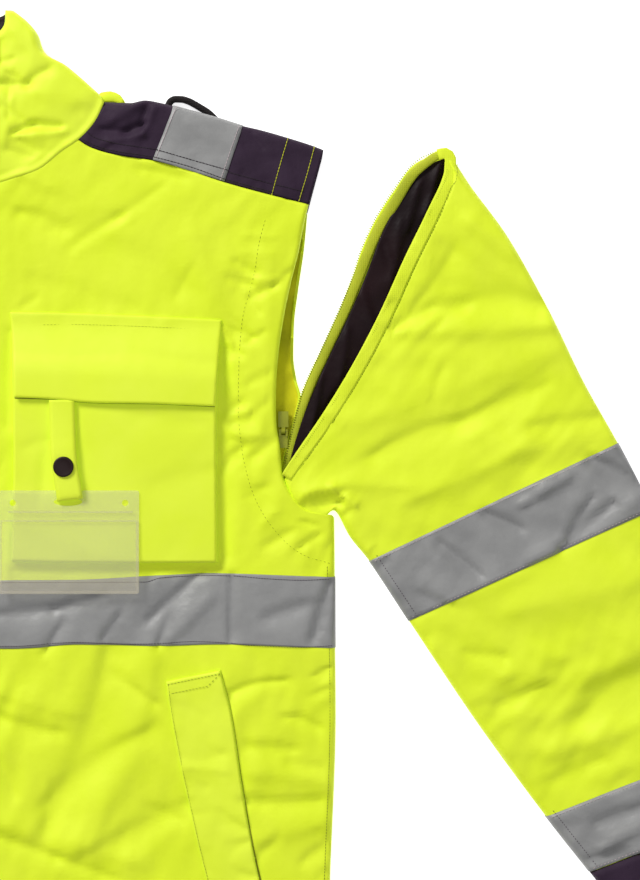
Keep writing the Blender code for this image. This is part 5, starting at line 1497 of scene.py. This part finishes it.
# ------------------------------------------------------------------------- closure
@dataclass
class Closure:
    """Closed centre zip under its storm flap, which lies on both fronts' faces."""

    left: Front
    right: Front

    def build(self) -> None:
        """Make strip, coil and flap."""
        heights = np.linspace(HEM_Y, 304, 120)
        strip = np.array([[(x, y, 10.6 + 0.3 * math.cos(x)) for x in np.linspace(-7.6, 7.6, 5)]
                          for y in heights])
        lay("front_zip", strip, ZIP_YELLOW, 1.0)
        teeth("front_zip_coil", [(0, HEM_Y + 2), (0, 0), (0, 302)], 11.4, COIL_YELLOW, 1.9, (4.6, 1.2, 1.2))
        y, x = np.meshgrid(np.linspace(HEM_Y + 1, 215, 170), np.linspace(-31.5, 31.5, 15), indexing="ij")
        out = np.abs(x)
        seat = np.where(x > 0, self.left.height(out, y), self.right.height(out, y))
        edge = np.clip((31.5 - out) / 3.0, 0, 1) ** 0.5
        z = np.maximum(seat, TOP) + 0.5 + 2.2 * edge + 0.5 * np.sin(y / 19 + x / 23)
        lay("front_flap", np.stack((x, y, z), axis=-1), YELLOW, 1.2)
        stitches("front_flap_thread", [[(28, HEM_Y + 4), (28, 0), (28, 212)]],
                 lambda x, y: np.full_like(x, TOP + 3.4), GROOVE_SHADED_THREAD, 3.4)


class CordLoop:
    """Black elastic loop behind the shoulder."""

    Z = 2.6                     # height of its middle
    ROUTE = [(154.9, 279.0), (156.5, 281.7), (158.3, 285.0), (161.6, 286.5), (165.8, 286.4), (170.4, 285.2),
             (174.8, 283.0), (179.0, 280.5), (183.0, 278.1), (186.6, 275.2), (189.2, 272.4)]

    def build(self) -> None:
        """Make the cord."""
        curve = bpy.data.curves.new("cord_loop_elastic", "CURVE")
        curve.dimensions = "3D"
        curve.bevel_depth, curve.bevel_resolution, curve.use_fill_caps = 2.4 * MM, 6, True
        line = smooth_line(self.ROUTE, spread(40))
        polyline(curve, line, self.Z)
        piece = dress(placed("cord_loop_elastic", curve), ELASTIC)
        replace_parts(piece, "cord_loop")


class Hardware:
    """Slider left in the armhole and its hinged pull."""

    def build(self) -> None:
        """Give both metal pieces their finish."""
        for node in ("zip_slider", "zip_pull"):
            materials = bpy.data.objects[node].data.materials
            materials.clear()
            materials.append(WARDROBE.material(ZINC))


# --------------------------------------------------------------------------- sewing
TAPE_TOP_EDGE = [(9, -47), (41, -46.7), (141, -46.4), (152, -43.6), (177, -42.1), (191, -41.9), (205, -42.4),
                 (225, -44.0), (250, -45.1), (271.6, -44.3)]
TAPE_FOOT_EDGE = [(9, -94), (49, -93.9), (94, -91.1), (129, -92.6), (152, -91.9), (175, -90.6), (192, -91.1),
                  (215, -93.4), (250, -94.6), (271.9, -93.4)]


@dataclass
class Sewing:
    """Rows of thread that no single panel makes."""

    fronts: tuple[Front, Front]
    sleeves: list[Sleeve]

    def build(self) -> None:
        """Sew both fronts and both sleeves."""
        for front in self.fronts:
            self.front(front)
        for sleeve in self.sleeves:
            self.sleeve(sleeve)

    @staticmethod
    def front(front: Front) -> None:
        """Armhole, side seam and body tape of one front."""
        label = front.label
        inset = [(x, y - 1.6) for x, y in TAPE_TOP_EDGE]
        foot = [(x, y + 1.6) for x, y in TAPE_FOOT_EDGE]
        runs = ((f"armhole_{label}_thread", [ARMHOLE_STITCH], GROOVE_SHADED_THREAD, 0.0, 2.9),
                (f"side_seam_{label}_thread", [SIDE_STITCH], THREAD_OLIVE, 0.05, 2.1),
                (f"torso_band_{label}_thread", [inset, foot], THREAD_PLUM, 0.5, 1.9))
        for name, lines, finish, rise, pitch in runs:
            stitches(name, lines, lambda x, y, up=rise: front.height(x, y) + up - edge_drop(x),
                     finish, pitch, (pitch * (0.72 if pitch > 2.5 else 1.1), 0.5, 0.6), front.side)

    @staticmethod
    def sleeve(sleeve: Sleeve) -> None:
        """Both edges of both tapes, and the seam that closes them under the arm."""
        rows = sleeve.cut.rows
        bands, seams = [], []
        for place in ("upper", "lower"):
            top, low = rows[f"{place}_top"], rows[f"{place}_low"]
            for (ox, oy, ux, uy, _), shift in ((top, 1.6), (low, -1.6)):
                length = math.hypot(ox - ux, oy - uy)
                run = np.array((ox - ux, oy - uy)) / length
                away = np.array((run[1], -run[0])) * shift
                bands.append([np.array((ux, uy)) + run * (4 + step) + away
                              for step in np.linspace(0, length - 8, 9)])
            (_, _, ax, ay, _), (_, _, bx, by, _) = top, low
            run = np.array((by - ay, ax - bx)) / math.hypot(bx - ax, by - ay)
            seams.append([(ax - run[0] * 6.5, ay - run[1] * 6.5), (bx - run[0] * 6.5, by - run[1] * 6.5)])
        if sleeve.side > 0:
            head = [(x + 5.4, y - 2.4) for x, y in FRONT_TAPE[3:-1]]
            stitches("sleeve_left_head_thread", [[(357, 240), (355.6, 228), *head[1:]]],
                     lambda x, y: sleeve.height(x, y) - 0.15, THREAD_OLIVE, 2.3, (2.5, 0.5, 0.5))
        for part, lines, finish, pitch in (("band", bands, THREAD_PALE, 2.6),
                                           ("band_seam", seams, THREAD_PLUM, 2.0)):
            stitches(f"sleeve_{sleeve.label}_{part}_thread", lines, lambda x, y: sleeve.height(x, y) + 0.5,
                     finish, pitch, (pitch * 0.72, 0.6, 0.6), sleeve.side)


def edge_drop(x: np.ndarray) -> np.ndarray:
    """How far the face has rounded down near the side seam."""
    away = np.clip(SIDE_X - x, 0.0, SIDE_RADIUS)
    return SIDE_RADIUS - np.sqrt(np.maximum(SIDE_RADIUS ** 2 - (SIDE_RADIUS - away) ** 2, 0.0))


class Jacket:
    """Puts the jacket together."""

    def __init__(self) -> None:
        """Set the reliefs of all panels."""
        left = LEFT_FOLDS + puckers(ARMHOLE_STITCH, 3, 8.5, 17, 2.2) + puckers(SIDE_STITCH, 5, 13, 16, 1.6)
        right = RIGHT_FOLDS + puckers(ARMHOLE_STITCH, 13, 9, 17, 2.0) + puckers(SIDE_STITCH, 15, 13, 16, 1.6)
        self.left = Front(1, Relief(left, 4), detail=1.35)
        self.right = Front(-1, Relief(right, 9), detail=0.55)
        yoke = YOKE_FOLDS + puckers(YOKE_SEAM, 7, 11, 13, 1.3)
        self.yokes = [Yoke(1, Relief(yoke, 6)), Yoke(-1, Relief(yoke, 8), 40, 10)]
        self.back = Back(Relief(BACK_FOLDS, 12))
        under = [row[2:4] for row in LEFT_CUT.rows.values()][3:]
        head = puckers(LEFT_CUT.head_front[2:], 17, 12, 15, 1.8)
        arm = LEFT_SLEEVE_FOLDS + head + puckers(under, 18, 16, 22, 2.0)
        self.sleeves = [Sleeve(1, Relief(arm, 14, 1.1, 0.4), LEFT_CUT),
                        Sleeve(-1, Relief(RIGHT_SLEEVE_FOLDS, 16), RIGHT_CUT, 34)]
        gathers = puckers(NECK_SEAM[2:], 23, 13, 12, 1.0)
        self.collar = Collar(Relief(COLLAR_FOLDS + gathers, 24), lambda x, y: np.where(
            x > 94.4, self.yokes[0].relief.height(x, y), self.left.relief.height(x, y)))
        self.pocket = ChestPocket(self.left, Relief(POCKET_FOLDS, 27, 0.3, 0.08))

    def build(self) -> None:
        """Make every piece."""
        parts = (Stage(), self.left, self.right, *self.yokes, self.back, *self.sleeves, self.collar,
                 ZipHead(self.sleeves[0]), self.pocket, CardHolder(), PressStud(), HandPocket(self.left),
                 HandPocket(self.right), Closure(self.left, self.right), CordLoop(), Hardware(),
                 Sewing((self.left, self.right), self.sleeves))
        for part in parts:
            part.build()


def main() -> None:
    """Build the jacket's looks on the loaded frame."""
    logging.basicConfig(level=logging.INFO)
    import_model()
    Jacket().build()


if __name__ == "__main__":
    main()
